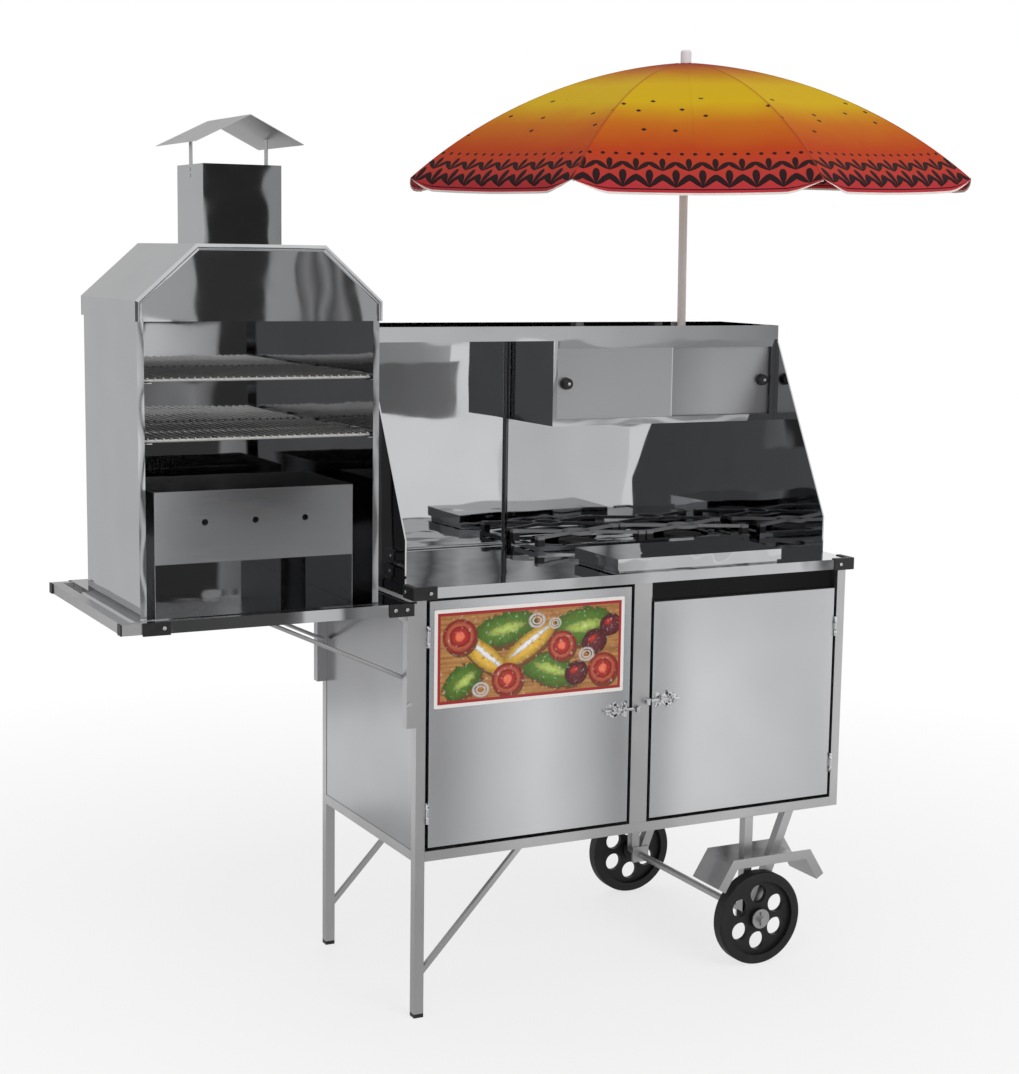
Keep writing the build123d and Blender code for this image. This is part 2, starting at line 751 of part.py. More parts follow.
# Axle with its washers and cotter pins
rear_wheel_inside = cabinet_depth + rear_wheel_clearance
front_wheel_y = (-front_wheel_clearance - wheel_width, -front_wheel_clearance)
rear_wheel_y = (rear_wheel_inside, rear_wheel_inside + wheel_width)
washer_front = front_wheel_y[0] - slip
washer_rear = rear_wheel_y[1] + slip
axle_y = (washer_front - axle_end, washer_rear + axle_end)
cotter_offset = washer_wall + cotter_radius + slip
with BuildPart() as axle:
    rod((axle_from_left, axle_y[0], axle_height), (axle_from_left, axle_y[1], axle_height), axle_radius)
    for y, way in ((washer_front, -1), (washer_rear, 1)):
        start = (axle_from_left, y, axle_height)
        rod(start, (axle_from_left, y + way * washer_wall, axle_height), washer_radius)
        pin_y = y + way * cotter_offset
        low = (axle_from_left, pin_y, axle_height - cotter_reach)
        high = (axle_from_left, pin_y, axle_height + cotter_reach)
        rod(low, high, cotter_radius)
save(axle, "axle")

# Two moulded wheels
for name, y in (("front_wheel", front_wheel_y), ("rear_wheel", rear_wheel_y)):
    middle = sum(y) / 2
    hub_plane = Plane(origin=spot(axle_from_left, middle, axle_height), x_dir=(1, 0, 0), z_dir=(0, 0, 1))
    with BuildPart() as wheel:
        with BuildSketch(hub_plane):
            bore = axle_radius + running
            for inner, outer, width in (
                (bore, wheel_hub_radius, wheel_width),
                (wheel_hub_radius - slip, wheel_radius - wheel_rim + slip, wheel_web),
                (wheel_radius - wheel_rim, wheel_radius, wheel_width),
            ):
                with Locations((inner, 0)):
                    Rectangle(outer - inner, width, align=(Align.MIN, Align.CENTER))
        revolve(axis=Axis(hub_plane.origin, (0, 1, 0)))
        with BuildSketch(Plane(origin=hub_plane.origin, z_dir=(0, 1, 0))):
            with PolarLocations(wheel_hole_circle, wheel_holes):
                Circle(wheel_hole_radius)
        extrude(amount=wheel_width, both=True, mode=Mode.SUBTRACT)
        treads = wheel.edges().filter_by(GeomType.CIRCLE).filter_by(
            lambda edge: abs(edge.radius - wheel_radius) < slip
        )
        fillet(treads, wheel_edge_round)
    save(wheel, name)

# Fenders: a channel bent over each wheel, cut out round the struts
fender_foot = fender_plate_height - fender_drop
fender_middle = axle_from_left + fender_shift


def fender_line(rise):
    """The bent line of a fender, raised square to its middle and its feet."""
    lean = atan2(fender_half_foot - fender_half_top, fender_drop)
    out = rise * (1 - sin(lean)) / cos(lean)
    foot_out = rise * cos(lean)
    foot_up = rise * sin(lean)
    return [
        (fender_middle - fender_half_foot - foot_out, fender_foot + foot_up),
        (fender_middle - fender_half_top - out, fender_plate_height + rise),
        (fender_middle + fender_half_top + out, fender_plate_height + rise),
        (fender_middle + fender_half_foot + foot_out, fender_foot + foot_up),
    ]


slope = (slope_top_offset - slope_foot_offset) / (rail_underside - axle_height)
slope_at_fender = axle_from_left + slope_foot_offset + slope * (fender_plate_height - axle_height)
slope_hole = (slope_at_fender - strut_hole_reach, slope_at_fender + strut_hole_reach)
strut_holes = (inset(strut_x, -weld_gap), slope_hole)
fender_edges = ((front_wheel_y[0] - fender_beyond_wheel, -1), (rear_wheel_y[1] + fender_beyond_wheel, 1))
with BuildPart() as fenders:
    for outer_y, way in fender_edges:
        inner_y = outer_y - way * fender_width
        for y, depth, rise in (
            (inner_y, fender_width, fender_wall),
            (inner_y, fender_wall, fender_channel),
            (outer_y - way * fender_wall, fender_wall, fender_channel),
        ):
            with BuildSketch(side_plane(y)):
                with BuildLine():
                    Polyline(*fender_line(0), *reversed(fender_line(rise)), close=True)
                make_face()
            extrude(amount=-way * depth)
    for y in ((0, tube), (rear_tube, cabinet_depth)):
        hole_y = inset(y, -weld_gap)
        hole_z = (fender_plate_height, fender_plate_height + fender_wall)
        for hole_x in strut_holes:
            block(hole_x, hole_y, hole_z, mode=Mode.SUBTRACT)
save(fenders, "fenders")

# Bracket posts on the cabinet's left side, each with a clevis for the shelf's hinge
post_top = shelf_height - bracket_post_drop
post_z = (post_top - bracket_post_length, post_top)
pivot_x = -tube - shelf_pivot_out
pivot_z = shelf_height - shelf_pivot_drop
with BuildPart() as shelf_posts:
    for y, inner in (((0, tube), tube), ((rear_tube, cabinet_depth), rear_tube)):
        hollow_tube((-tube, 0), y, post_z, "z")
        cheek_x = (pivot_x - shelf_pin_radius - clevis_edge, -tube)
        cheek_z = (pivot_z - shelf_eye_radius, pivot_z + shelf_eye_radius)
        near_cheek = (y[0] + clevis_inset, y[0] + clevis_inset + shelf_cheek)
        far_cheek = (y[1] - clevis_inset - shelf_cheek, y[1] - clevis_inset)
        block(cheek_x, near_cheek, cheek_z)
        block(cheek_x, far_cheek, cheek_z)
        rod((pivot_x, near_cheek[0], pivot_z), (pivot_x, far_cheek[1], pivot_z), shelf_pin_radius)
        way = 1 if inner == tube else -1
        start = (-tube / 2, inner - way * 2 * tube_wall, prop_hole_height)
        through = (-tube / 2, inner + way * tube_wall, prop_hole_height)
        rod(start, through, prop_radius + running, Mode.SUBTRACT)
save(shelf_posts, "shelf_posts")

# Shelf: a sheet with its front, left and rear edges folded down
shelf_x = (-shelf_gap - shelf_length, -shelf_gap)
shelf_y = worktop_y
shelf_z = (shelf_height - shelf_lip, shelf_height)
handle_y = {
    "front": (shelf_y[0] + sheet + weld_gap, shelf_y[0] + sheet + weld_gap + tube),
    "rear": (shelf_y[1] - sheet - weld_gap - tube, shelf_y[1] - sheet - weld_gap),
}
handle_z = (shelf_height - sheet - weld_gap - tube, shelf_height - sheet - weld_gap)
with BuildPart() as shelf_tray:
    block(shelf_x, shelf_y, shelf_z)
    under_sheet = (shelf_z[0], shelf_z[1] - sheet)
    block((shelf_x[0] + sheet, shelf_x[1]), inset(shelf_y, sheet), under_sheet, mode=Mode.SUBTRACT)
    for y in handle_y.values():
        hole_z = (shelf_z[0], handle_z[1] + weld_gap / 2)
        block((shelf_x[0], shelf_x[0] + sheet), inset(y, -weld_gap / 2), hole_z, mode=Mode.SUBTRACT)
save(shelf_tray, "shelf_tray")

# Black plastic on the shelf: corner angles, and end caps in the handle tubes
handle_end = -handle_reach + handle_cap
with BuildPart() as shelf_corners:
    for y, y_in in ((shelf_y[0], 1), (shelf_y[1], -1)):
        handle_clear = sheet + weld_gap / 2
        corner_cap(shelf_x[0], 1, y, y_in, (corner_arm, handle_clear), shelf_z, 0)
        corner_cap(shelf_x[1], -1, y, y_in, (corner_arm, corner_flange), shelf_z, 0)
    for y in handle_y.values():
        block((-handle_reach, handle_end), y, handle_z)
save(shelf_corners, "shelf_corners")

# Handle: two tubes under the shelf, joined by a bar at their free ends and hinged to the bracket posts
handle_root = -tube - handle_post_gap
with BuildPart() as handle_frame:
    for y in handle_y.values():
        hollow_tube((handle_end, handle_root), y, handle_z, "x")
    bar_y = (handle_y["front"][1], handle_y["rear"][0])
    hollow_tube((handle_end, handle_end + tube), bar_y, handle_z, "y")
    for y in ((0, tube), (rear_tube, cabinet_depth)):
        eye_y = inset(y, clevis_inset + shelf_cheek + slip)
        rod((pivot_x, eye_y[0], pivot_z), (pivot_x, eye_y[1], pivot_z), shelf_eye_radius)
        neck_x = (pivot_x - shelf_eye_radius, pivot_x + shelf_eye_radius)
        block(neck_x, eye_y, (pivot_z, handle_z[0] + tube_wall))
        start = (pivot_x, eye_y[0], pivot_z)
        rod(start, (pivot_x, eye_y[1], pivot_z), shelf_pin_radius + running, mode=Mode.SUBTRACT)
save(handle_frame, "handle_frame")

# Prop: a bent rod that turns in the bracket posts and holds the shelf up
prop_x = -tube / 2
prop_top_z = shelf_height - sheet - slip - prop_radius
prop_y = (tube + slip + prop_radius, rear_tube - slip - prop_radius)
with BuildPart() as shelf_prop:
    for y, way in ((prop_y[0], -1), (prop_y[1], 1)):
        pivot_end = y + way * (prop_radius + slip + tube_wall + prop_radius)
        rod((prop_x, pivot_end, prop_hole_height), (prop_x, y, prop_hole_height), prop_radius)
        rod((prop_x, y, prop_hole_height), (-prop_top_reach, y, prop_top_z), prop_radius)
        for x, z in ((prop_x, prop_hole_height), (-prop_top_reach, prop_top_z)):
            with Locations(spot(x, y, z)):
                Sphere(prop_radius)
    rod((-prop_top_reach, prop_y[0], prop_top_z), (-prop_top_reach, prop_y[1], prop_top_z), prop_radius)
save(shelf_prop, "shelf_prop")

# Grill body: floor, back and two sides, with folded front edges and ledges for the racks
grill_x = (shelf_x[0] - grill_from_shelf_end, shelf_x[0] - grill_from_shelf_end + grill_width)
grill_y = (grill_setback, grill_setback + grill_depth)
grill_z = (shelf_height + slip, grill_top)
ledge_top = {height: height - rack_rod_radius - slip for height in (lower_rack_height, upper_rack_height)}
with BuildPart() as grill_body:
    block(grill_x, grill_y, grill_z)
    block(
        inset(grill_x, sheet),
        (grill_y[0] + sheet, grill_y[1] - sheet),
        (grill_z[0] + sheet, grill_z[1]),
        mode=Mode.SUBTRACT,
    )
    front_sheet = (grill_y[0], grill_y[0] + sheet)
    block(inset(grill_x, grill_flange), front_sheet, (grill_z[0] + sheet, grill_z[1]), mode=Mode.SUBTRACT)
    for top in ledge_top.values():
        ledge_z = (top - ledge_wall, top)
        ledge_y = (grill_y[0] + sheet, grill_y[1] - sheet)
        block((grill_x[0], grill_x[0] + ledge_width), ledge_y, ledge_z)
        block((grill_x[1] - ledge_width, grill_x[1]), ledge_y, ledge_z)
save(grill_body, "grill_body")

# Hood: a folded box with sloping sides, open below, that sits on the body's edge
hood_x = (grill_x[0] - hood_overhang, grill_x[1] + hood_overhang)
hood_y = (grill_y[0] - hood_overhang, grill_y[1] + hood_overhang)
hood_top = grill_top + hood_rim + hood_rise
chimney_x_mid = sum(hood_x) / 2
chimney_y_mid = sum(hood_y) / 2
chimney_x = (chimney_x_mid - chimney_size / 2, chimney_x_mid + chimney_size / 2)
chimney_y = (chimney_y_mid - chimney_size / 2, chimney_y_mid + chimney_size / 2)
with BuildPart() as grill_hood:
    with BuildSketch(side_plane(hood_y[1])) as hood_section:
        with BuildLine():
            Polyline(
                (hood_x[0], grill_top),
                (hood_x[1], grill_top),
                (hood_x[1], grill_top + hood_rim),
                (hood_x[1] - hood_slope_width, hood_top),
                (hood_x[0] + hood_slope_width, hood_top),
                (hood_x[0], grill_top + hood_rim),
                close=True,
            )
        make_face()
    extrude(amount=hood_y[1] - hood_y[0])
    with BuildSketch(side_plane(hood_y[1] - sheet)):
        add(hood_section.sketch_local)
        offset(amount=-sheet, mode=Mode.REPLACE)
    extrude(amount=hood_y[1] - hood_y[0] - 2 * sheet, mode=Mode.SUBTRACT)
    below = (grill_top, grill_top + sheet)
    block(inset(hood_x, hood_flange), inset(hood_y, hood_flange), below, mode=Mode.SUBTRACT)
    flue_z = (hood_top - sheet, hood_top)
    block(inset(chimney_x, sheet), inset(chimney_y, sheet), flue_z, mode=Mode.SUBTRACT)
    with BuildSketch(side_plane(hood_y[0])):
        add(hood_section.sketch_local)
        offset(hood_section.sketch_local, amount=-hood_hem, mode=Mode.SUBTRACT)
    extrude(amount=hood_hem_wall)
save(grill_hood, "grill_hood")

# Square chimney
chimney_z = (hood_top, hood_top + chimney_height)
with BuildPart() as chimney:
    block(chimney_x, chimney_y, chimney_z)
    block(inset(chimney_x, sheet), inset(chimney_y, sheet), chimney_z, mode=Mode.SUBTRACT)
save(chimney, "chimney")

# Rain cap: a gabled sheet on two straps riveted inside the chimney
eaves = chimney_z[1] + cap_eaves_above_chimney
cap_y = (chimney_y_mid - cap_length / 2, chimney_y_mid + cap_length / 2)
strap_reach = chimney_size / 2 - sheet
strap_top = eaves + cap_rise * (1 - strap_reach / cap_half_width)
with BuildPart() as rain_cap:
    with BuildSketch(side_plane(cap_y[1])):
        with BuildLine():
            line = [(-cap_half_width, eaves), (0, eaves + cap_rise), (cap_half_width, eaves)]
            lower = [(chimney_x_mid + x, z) for x, z in line]
            upper = [(x, z + sheet) for x, z in reversed(lower)]
            Polyline(*lower, *upper, close=True)
        make_face()
    extrude(amount=cap_length)
    strap_y = (chimney_y_mid - strap_width / 2, chimney_y_mid + strap_width / 2)
    for way in (-1, 1):
        face = chimney_x_mid + way * strap_reach
        strap_x = ordered(face, face - way * strap_wall)
        block(strap_x, strap_y, (chimney_z[1] - strap_overlap, strap_top + sheet / 2))
save(rain_cap, "rain_cap")

# Wire racks: three rods across, with wires laid on them from front to back
rack_x = inset(grill_x, grill_flange + rack_side_gap)
rack_y = (grill_y[0] + rack_setback, grill_y[1] - sheet - rack_setback)
wire_x = inset(rack_x, 2 * rack_rod_radius)
wire_pitch = (wire_x[1] - wire_x[0]) / (rack_wires - 1)
wire_sink = rack_wire_radius / 3
for name, height in (("upper_rack", upper_rack_height), ("lower_rack", lower_rack_height)):
    with BuildPart() as rack:
        rod_inset = inset(rack_y, 2 * rack_rod_radius)
        for y in (rod_inset[0], sum(rack_y) / 2, rod_inset[1]):
            rod((rack_x[0], y, height), (rack_x[1], y, height), rack_rod_radius)
        wire_z = height + rack_rod_radius + rack_wire_radius - wire_sink
        for n in range(rack_wires):
            x = wire_x[0] + n * wire_pitch
            rod((x, rack_y[0], wire_z), (x, rack_y[1], wire_z), rack_wire_radius)
    save(rack, name)

# Charcoal box: sides down to the grill's floor, front and back above the draught gap, coal plate between
coal_x_mid = sum(grill_x) / 2
coal_x = (coal_x_mid - coal_box_width / 2, coal_x_mid + coal_box_width / 2)
coal_y = (grill_y[0] + coal_box_setback, grill_y[0] + coal_box_setback + coal_box_depth)
coal_z = (grill_z[0] + sheet + slip, coal_box_top)
coal_hole_z = coal_box_top - coal_hole_drop
with BuildPart() as charcoal_box:
    block(coal_x, coal_y, coal_z)
    coal_inner_x = inset(coal_x, sheet)
    block(coal_inner_x, coal_y, (coal_z[0], coal_plate_underside), mode=Mode.SUBTRACT)
    pit = (coal_plate_underside + sheet, coal_z[1])
    block(coal_inner_x, inset(coal_y, sheet), pit, mode=Mode.SUBTRACT)
    for n in (-1, 0, 1):
        x = coal_x_mid + n * coal_hole_pitch
        start = (x, coal_y[0], coal_hole_z)
        rod(start, (x, coal_y[0] + sheet, coal_hole_z), coal_hole_radius, mode=Mode.SUBTRACT)
save(charcoal_box, "charcoal_box")

# The parasol is drawn upright and leans as a whole, about the middle of the roof's hole
pole_axis = Axis(spot(pole_from_left, pole_from_front, 0), (0, 0, 1))
pole_xy = (pole_from_left, pole_from_front)
lean_turn = radians(parasol_lean_way)
lean_axis = Axis(spot(*pole_xy, roof_underside), (-sin(lean_turn), cos(lean_turn), 0))


def save_leaning(piece, name):
    """Lean a piece of the parasol, name it and write its file."""
    with BuildPart() as leaning:
        add(piece.part.rotate(lean_axis, parasol_lean))
    save(leaning, name)


# Socket behind the back panel: a level base plate and a tube that leans with the pole
socket_bore = sleeve_radius + running
socket_floor = worktop_height + socket_wall
socket_top = worktop_height + socket_height
with BuildPart() as socket_tube:
    rod((*pole_xy, worktop_height + socket_wall / 2), (*pole_xy, socket_top), socket_bore + socket_wall / 4)
with BuildPart() as socket_hole:
    rod((*pole_xy, socket_floor), (*pole_xy, socket_top), socket_bore)
socket_out = (roof_underside - worktop_height) * sin(radians(parasol_lean)) * cos(lean_turn)
base_middle = pole_from_left - socket_out
base_front = back_panel_setback + sheet + weld_gap
with BuildPart() as pole_socket:
    base_x = (base_middle - socket_base_length / 2, base_middle + socket_base_length / 2)
    block(base_x, (base_front, base_front + socket_base_depth), (worktop_height, socket_floor))
    add(socket_tube.part.rotate(lean_axis, parasol_lean))
    add(socket_hole.part.rotate(lean_axis, parasol_lean), mode=Mode.SUBTRACT)
save(pole_socket, "pole_socket")

# Lower pole stands in the socket; the upper pole turns in it, on a ledge inside
sleeve_z = (socket_floor + slip, sleeve_top)
upper_pole_bottom = sleeve_top - sleeve_insert
with BuildPart() as lower_pole:
    rod((*pole_xy, sleeve_z[0]), (*pole_xy, sleeve_z[1]), sleeve_radius)
    ledge = (*pole_xy, upper_pole_bottom - slip)
    rod(ledge, (*pole_xy, sleeve_z[1]), pole_radius + running, mode=Mode.SUBTRACT)
    rod((*pole_xy, sleeve_z[0]), (*pole_xy, sleeve_z[1]), pole_radius - 2 * pole_wall, mode=Mode.SUBTRACT)
save_leaning(lower_pole, "lower_pole")

# Canopy: an eight-sided dome. Its gores are cut as arcs and its ribs follow the same rise
gore_half_turn = 180 / rib_count
apothem = canopy_radius * cos(radians(gore_half_turn))
hem_height = tip_height - canopy_hem


def rib_turn(n):
    """The angle round the pole of one rib, in degrees."""
    return parasol_turn + n * 360 / rib_count


def dome(top, reach, hem):
    """The dome's solid: one arched section across each pair of opposite gores, all in common."""
    for n in range(rib_count // 2):
        angle = radians(parasol_turn + gore_half_turn + n * 2 * gore_half_turn)
        across = (cos(angle), sin(angle), 0)
        along = (sin(angle), -cos(angle), 0)
        with BuildSketch(Plane(origin=spot(*pole_xy, 0), x_dir=across, z_dir=along)) as section:
            with BuildLine():
                for way in (-1, 1):
                    half_way = (way * reach / 2, top - canopy_half_way_drop)
                    ThreePointArc((0, top), half_way, (way * reach, top - canopy_rise))
                tips = [(way * reach, top - canopy_rise) for way in (1, -1)]
                Polyline(tips[0], (reach, hem), (-reach, hem), tips[1])
            make_face()
        mode = Mode.INTERSECT if n else Mode.ADD
        extrude(section.sketch, amount=2 * canopy_radius, both=True, mode=mode)


with BuildPart() as canopy_hollow:
    dome(canopy_top - canopy_wall, apothem - canopy_wall, hem_height - canopy_wall)

with BuildPart() as canopy:
    dome(canopy_top, apothem, hem_height)
    add(canopy_hollow.part, mode=Mode.SUBTRACT)
    for n in range(rib_count):
        turn = radians(rib_turn(n))
        outward = (cos(turn), sin(turn), 0)
        tangent = (-sin(turn), cos(turn), 0)
        with BuildSketch(Plane(origin=spot(*pole_xy, 0), x_dir=tangent, z_dir=outward)):
            with BuildLine():
                Polyline(
                    (-canopy_notch_half_width, hem_height),
                    (0, tip_height - canopy_wall),
                    (canopy_notch_half_width, hem_height),
                    close=True,
                )
            make_face()
        extrude(amount=2 * canopy_radius, mode=Mode.SUBTRACT)
    top_hole = finial_stem + slip
    rod((*pole_xy, tip_height), (*pole_xy, canopy_top), top_hole, mode=Mode.SUBTRACT)
save_leaning(canopy, "canopy")

# Upper pole with its crown, which holds the ribs' pins, and the finial above the canopy
half_reach = apothem / 2
arch_bulge = canopy_rise - 2 * canopy_half_way_drop
arch_rise = (2 * half_reach**2 + canopy_rise**2 - 2 * canopy_half_way_drop**2) / arch_bulge
arch_out = (half_reach**2 + canopy_half_way_drop**2 - arch_rise * canopy_half_way_drop) / half_reach
arch_radius = hypot(arch_rise, arch_out) / 2


def gore_height(reach):
    """Height of the cloth in a gore's middle at a distance from the pole."""
    return canopy_top - arch_rise / 2 + sqrt(arch_radius**2 - (reach - arch_out / 2) ** 2)


def rib_height(reach):
    """Height of a rib's middle line at a distance from the pole."""
    return gore_height(reach * cos(radians(gore_half_turn))) - rib_drop


crown_pin_height = rib_height(crown_pin_circle)
canopy_sag = canopy_top - gore_height(crown_radius)
crown_z = (crown_pin_height - crown_half_height, canopy_top - canopy_wall - canopy_sag - slip)
notch = rib_tab + 2 * slip


def around_pole(turn, radius, side, height):
    """A point at an angle round the pole: outwards by radius, sideways by side."""
    angle = radians(turn)
    x = pole_from_left + radius * cos(angle) - side * sin(angle)
    y = pole_from_front + radius * sin(angle) + side * cos(angle)
    return (x, y, height)


def notched_disc(radius, pin_circle, z, pin_height, shift):
    """A disc with a notch and a cross pin for each rib or stretcher."""
    rod((*pole_xy, z[0]), (*pole_xy, z[1]), radius)
    for n in range(rib_count):
        turn = rib_turn(n)
        middle = spot(*around_pole(turn, pin_circle, shift, sum(z) / 2))
        with Locations(Location(middle, (0, 0, turn))):
            deep = 2 * (rib_eye_radius + slip)
            tall = z[1] - z[0]
            Box(2 * radius, notch, tall, align=outwards, mode=Mode.SUBTRACT)
            Box(deep, notch, tall, mode=Mode.SUBTRACT)
        first = around_pole(turn, pin_circle, shift - notch, pin_height)
        last = around_pole(turn, pin_circle, shift + notch, pin_height)
        rod(first, last, rib_pin_radius)


with BuildPart() as upper_pole:
    notched_disc(crown_radius, crown_pin_circle, crown_z, crown_pin_height, 0)
    rod((*pole_xy, crown_z[1]), (*pole_xy, canopy_top + slip), finial_stem)
    finial_foot = Plane(origin=spot(*pole_xy, canopy_top + slip))
    with BuildSketch(finial_foot):
        Circle(finial_radius)
    extrude(amount=finial_height)
    fillet(upper_pole.faces().sort_by(Axis.Z)[-1].edges(), finial_radius / 2)
    rod((*pole_xy, upper_pole_bottom), (*pole_xy, crown_z[0]), pole_radius)
    bore_top = crown_z[0] - pole_wall
    rod((*pole_xy, upper_pole_bottom), (*pole_xy, bore_top), pole_radius - pole_wall, mode=Mode.SUBTRACT)
save_leaning(upper_pole, "upper_pole")

# Ribs: a curved rod with a flat tab and an eye at the crown
rib_end = canopy_radius - rib_end_inset
rib_start = crown_pin_circle + rib_tab_length - rib_eye_radius
with BuildPart() as rib_pattern:
    radial = Plane(origin=spot(*pole_xy, 0), x_dir=(1, 0, 0), z_dir=(0, -1, 0))
    with BuildLine(radial) as rib_line:
        half_way = (rib_start + rib_end) / 2
        points = [(reach, rib_height(reach)) for reach in (rib_start, half_way, rib_end)]
        ThreePointArc(*points)
    with BuildSketch(Plane(origin=rib_line.line @ 0, z_dir=rib_line.line % 0)):
        Circle(rib_radius)
    sweep(path=rib_line.line)
    tab_end = crown_pin_circle + rib_tab_length
    with BuildSketch(radial):
        with BuildLine():
            low_in = (crown_pin_circle, crown_pin_height - rib_eye_radius)
            low_out = (tab_end, rib_height(tab_end) - rib_radius)
            high_out = (tab_end, rib_height(tab_end) + rib_radius)
            high_in = (crown_pin_circle, crown_pin_height + rib_eye_radius)
            Polyline(low_in, low_out, high_out, high_in, close=True)
        make_face()
        with Locations((crown_pin_circle, crown_pin_height)):
            Circle(rib_eye_radius)
            Circle(rib_pin_radius + running, mode=Mode.SUBTRACT)
    extrude(amount=rib_tab / 2, both=True)

# Stretchers: a flat bar from the runner's pin to beside the rib, with an eye at each end
stretcher_side = rib_radius + slip + rib_tab / 2
runner_pin_height = crown_pin_height - runner_drop
stretcher_rise = rib_height(stretcher_reach) - runner_pin_height
stretcher_run = stretcher_reach - runner_pin_circle
stretcher_length = hypot(stretcher_run, stretcher_rise)
stretcher_lean = degrees(atan2(stretcher_rise, stretcher_run))
with BuildPart() as stretcher_pattern:
    pin_point = spot(*around_pole(0, runner_pin_circle, stretcher_side, runner_pin_height))
    bar_way = (stretcher_run, 0, stretcher_rise)
    with BuildSketch(Plane(origin=pin_point, x_dir=bar_way, z_dir=(0, -1, 0))):
        with Locations((stretcher_length / 2, 0)):
            SlotCenterToCenter(stretcher_length, stretcher_depth)
        with Locations((0, 0), (stretcher_length, 0)):
            Circle(rib_eye_radius)
        with Locations((0, 0), (stretcher_length, 0)):
            Circle(rib_pin_radius + running, mode=Mode.SUBTRACT)
    extrude(amount=rib_tab / 2, both=True)

for n in range(rib_count):
    turn = rib_turn(n)
    for pattern, name in ((rib_pattern, f"rib_{n + 1}"), (stretcher_pattern, f"stretcher_{n + 1}")):
        with BuildPart() as turned:
            add(pattern.part.rotate(pole_axis, turn))
        save_leaning(turned, name)

# Runner: slides on the upper pole and carries the stretchers
runner_z = (runner_pin_height - crown_half_height, runner_pin_height + crown_half_height)
with BuildPart() as runner:
    notched_disc(runner_radius, runner_pin_circle, runner_z, runner_pin_height, stretcher_side)
    sleeve_low = runner_z[1] - runner_sleeve_length
    rod((*pole_xy, sleeve_low), (*pole_xy, runner_z[1]), runner_sleeve_radius)
    rod((*pole_xy, sleeve_low), (*pole_xy, runner_z[1]), pole_radius + running, mode=Mode.SUBTRACT)
save_leaning(runner, "runner")

# How the parasol folds until its ribs come near the roof: the runner's travel and the stretchers' turn
rib_arm = hypot(stretcher_reach - crown_pin_circle, crown_pin_height - rib_height(stretcher_reach))
rib_lean = degrees(atan2(crown_pin_height - rib_height(stretcher_reach), stretcher_reach - crown_pin_circle))
folded_reach = crown_pin_circle + rib_arm * cos(radians(rib_lean + rib_fold))
folded_drop = rib_arm * sin(radians(rib_lean + rib_fold))
folded_rise = sqrt(stretcher_length**2 - (folded_reach - runner_pin_circle) ** 2)
print("runner travel", folded_drop + folded_rise - runner_drop)
print("stretcher turn", degrees(asin(folded_rise / stretcher_length)) - stretcher_lean)
print("crown pin height", crown_pin_height, "runner pin height", runner_pin_height)
print("stretcher side", stretcher_side, "cart left", cart_left, "cart front", cart_front)
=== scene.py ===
"""Looks of a stainless hot dog cart with a side grill and a parasol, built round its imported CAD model."""

import json
from functools import partial
from math import asin, atan2, copysign, cos, hypot, pi, sin, sqrt, tan

import bmesh
import bpy
from bpy.props import FloatProperty, FloatVectorProperty, PointerProperty, StringProperty
from mathutils import Matrix, Vector


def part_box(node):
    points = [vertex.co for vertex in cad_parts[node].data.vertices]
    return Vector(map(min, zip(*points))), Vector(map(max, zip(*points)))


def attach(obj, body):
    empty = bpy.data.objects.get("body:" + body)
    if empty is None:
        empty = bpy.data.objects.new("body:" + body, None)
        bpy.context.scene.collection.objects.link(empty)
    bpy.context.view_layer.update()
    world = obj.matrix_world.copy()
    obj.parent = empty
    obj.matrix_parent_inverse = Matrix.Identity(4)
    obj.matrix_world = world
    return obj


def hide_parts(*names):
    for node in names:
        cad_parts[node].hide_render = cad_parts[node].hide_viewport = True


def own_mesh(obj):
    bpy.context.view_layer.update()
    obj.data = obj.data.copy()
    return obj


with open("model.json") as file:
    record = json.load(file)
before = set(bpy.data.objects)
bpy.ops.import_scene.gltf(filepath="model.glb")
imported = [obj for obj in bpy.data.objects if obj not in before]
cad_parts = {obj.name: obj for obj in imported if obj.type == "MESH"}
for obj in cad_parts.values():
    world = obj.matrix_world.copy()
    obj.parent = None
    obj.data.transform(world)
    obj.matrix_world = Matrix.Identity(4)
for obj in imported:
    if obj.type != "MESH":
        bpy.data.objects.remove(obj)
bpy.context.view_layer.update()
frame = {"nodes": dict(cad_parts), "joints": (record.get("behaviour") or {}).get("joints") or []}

bl_info = {
    "name": "Hot dog cart looks",
    "version": (1, 0, 0),
    "blender": (4, 5, 0),
    "location": "View3D > Sidebar > Cart",
    "description": "Finishes, cloth, print and small fixings for the cart, and a plain studio round it",
    "category": "Object",
}

MM = 0.001
nodes = frame["nodes"]
joints = {joint["name"]: joint for joint in frame["joints"]}

# The cabinet's front left foot, from which places on the cart are measured
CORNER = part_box("frame_tubes")[0]
# The parasol leans a little: it is shaped upright round its pole, then leaned about a point on the pole
PIVOT = Vector(joints["parasol_turn"]["pos_m"])
LEAN = Vector((0, 0, 1)).rotation_difference(Vector(joints["parasol_turn"]["axis"]))
RIBS = sum(1 for name in nodes if name.startswith("rib_"))
first_hinge = LEAN.inverted() @ Vector(joints["rib_1_hinge"]["axis"])
FIRST_RIB = atan2(-first_hinge.x, first_hinge.y)
# Most values of a noise texture lie between these two
NOISE_SPAN = (0.3, 0.7)
# A Mix node's inputs for colours, and its colour output
MIX_SHARE, MIX_UNDER, MIX_OVER, MIX_RESULT = 0, 6, 7, 2
# Tone changes on a moulded surface are this many times as wide as its grit
CLOUD_TO_GRIT = 20


def on_cart(x, y, z):
    """A place measured in millimetres from the cabinet's front left edge and the floor."""
    return Vector((CORNER.x + x * MM, CORNER.y + y * MM, z * MM))


def leaned(x, y, z):
    """A place by the upright parasol, measured from the pole and the floor, once the parasol leans."""
    return PIVOT + LEAN @ Vector((x, y, z - PIVOT.z))


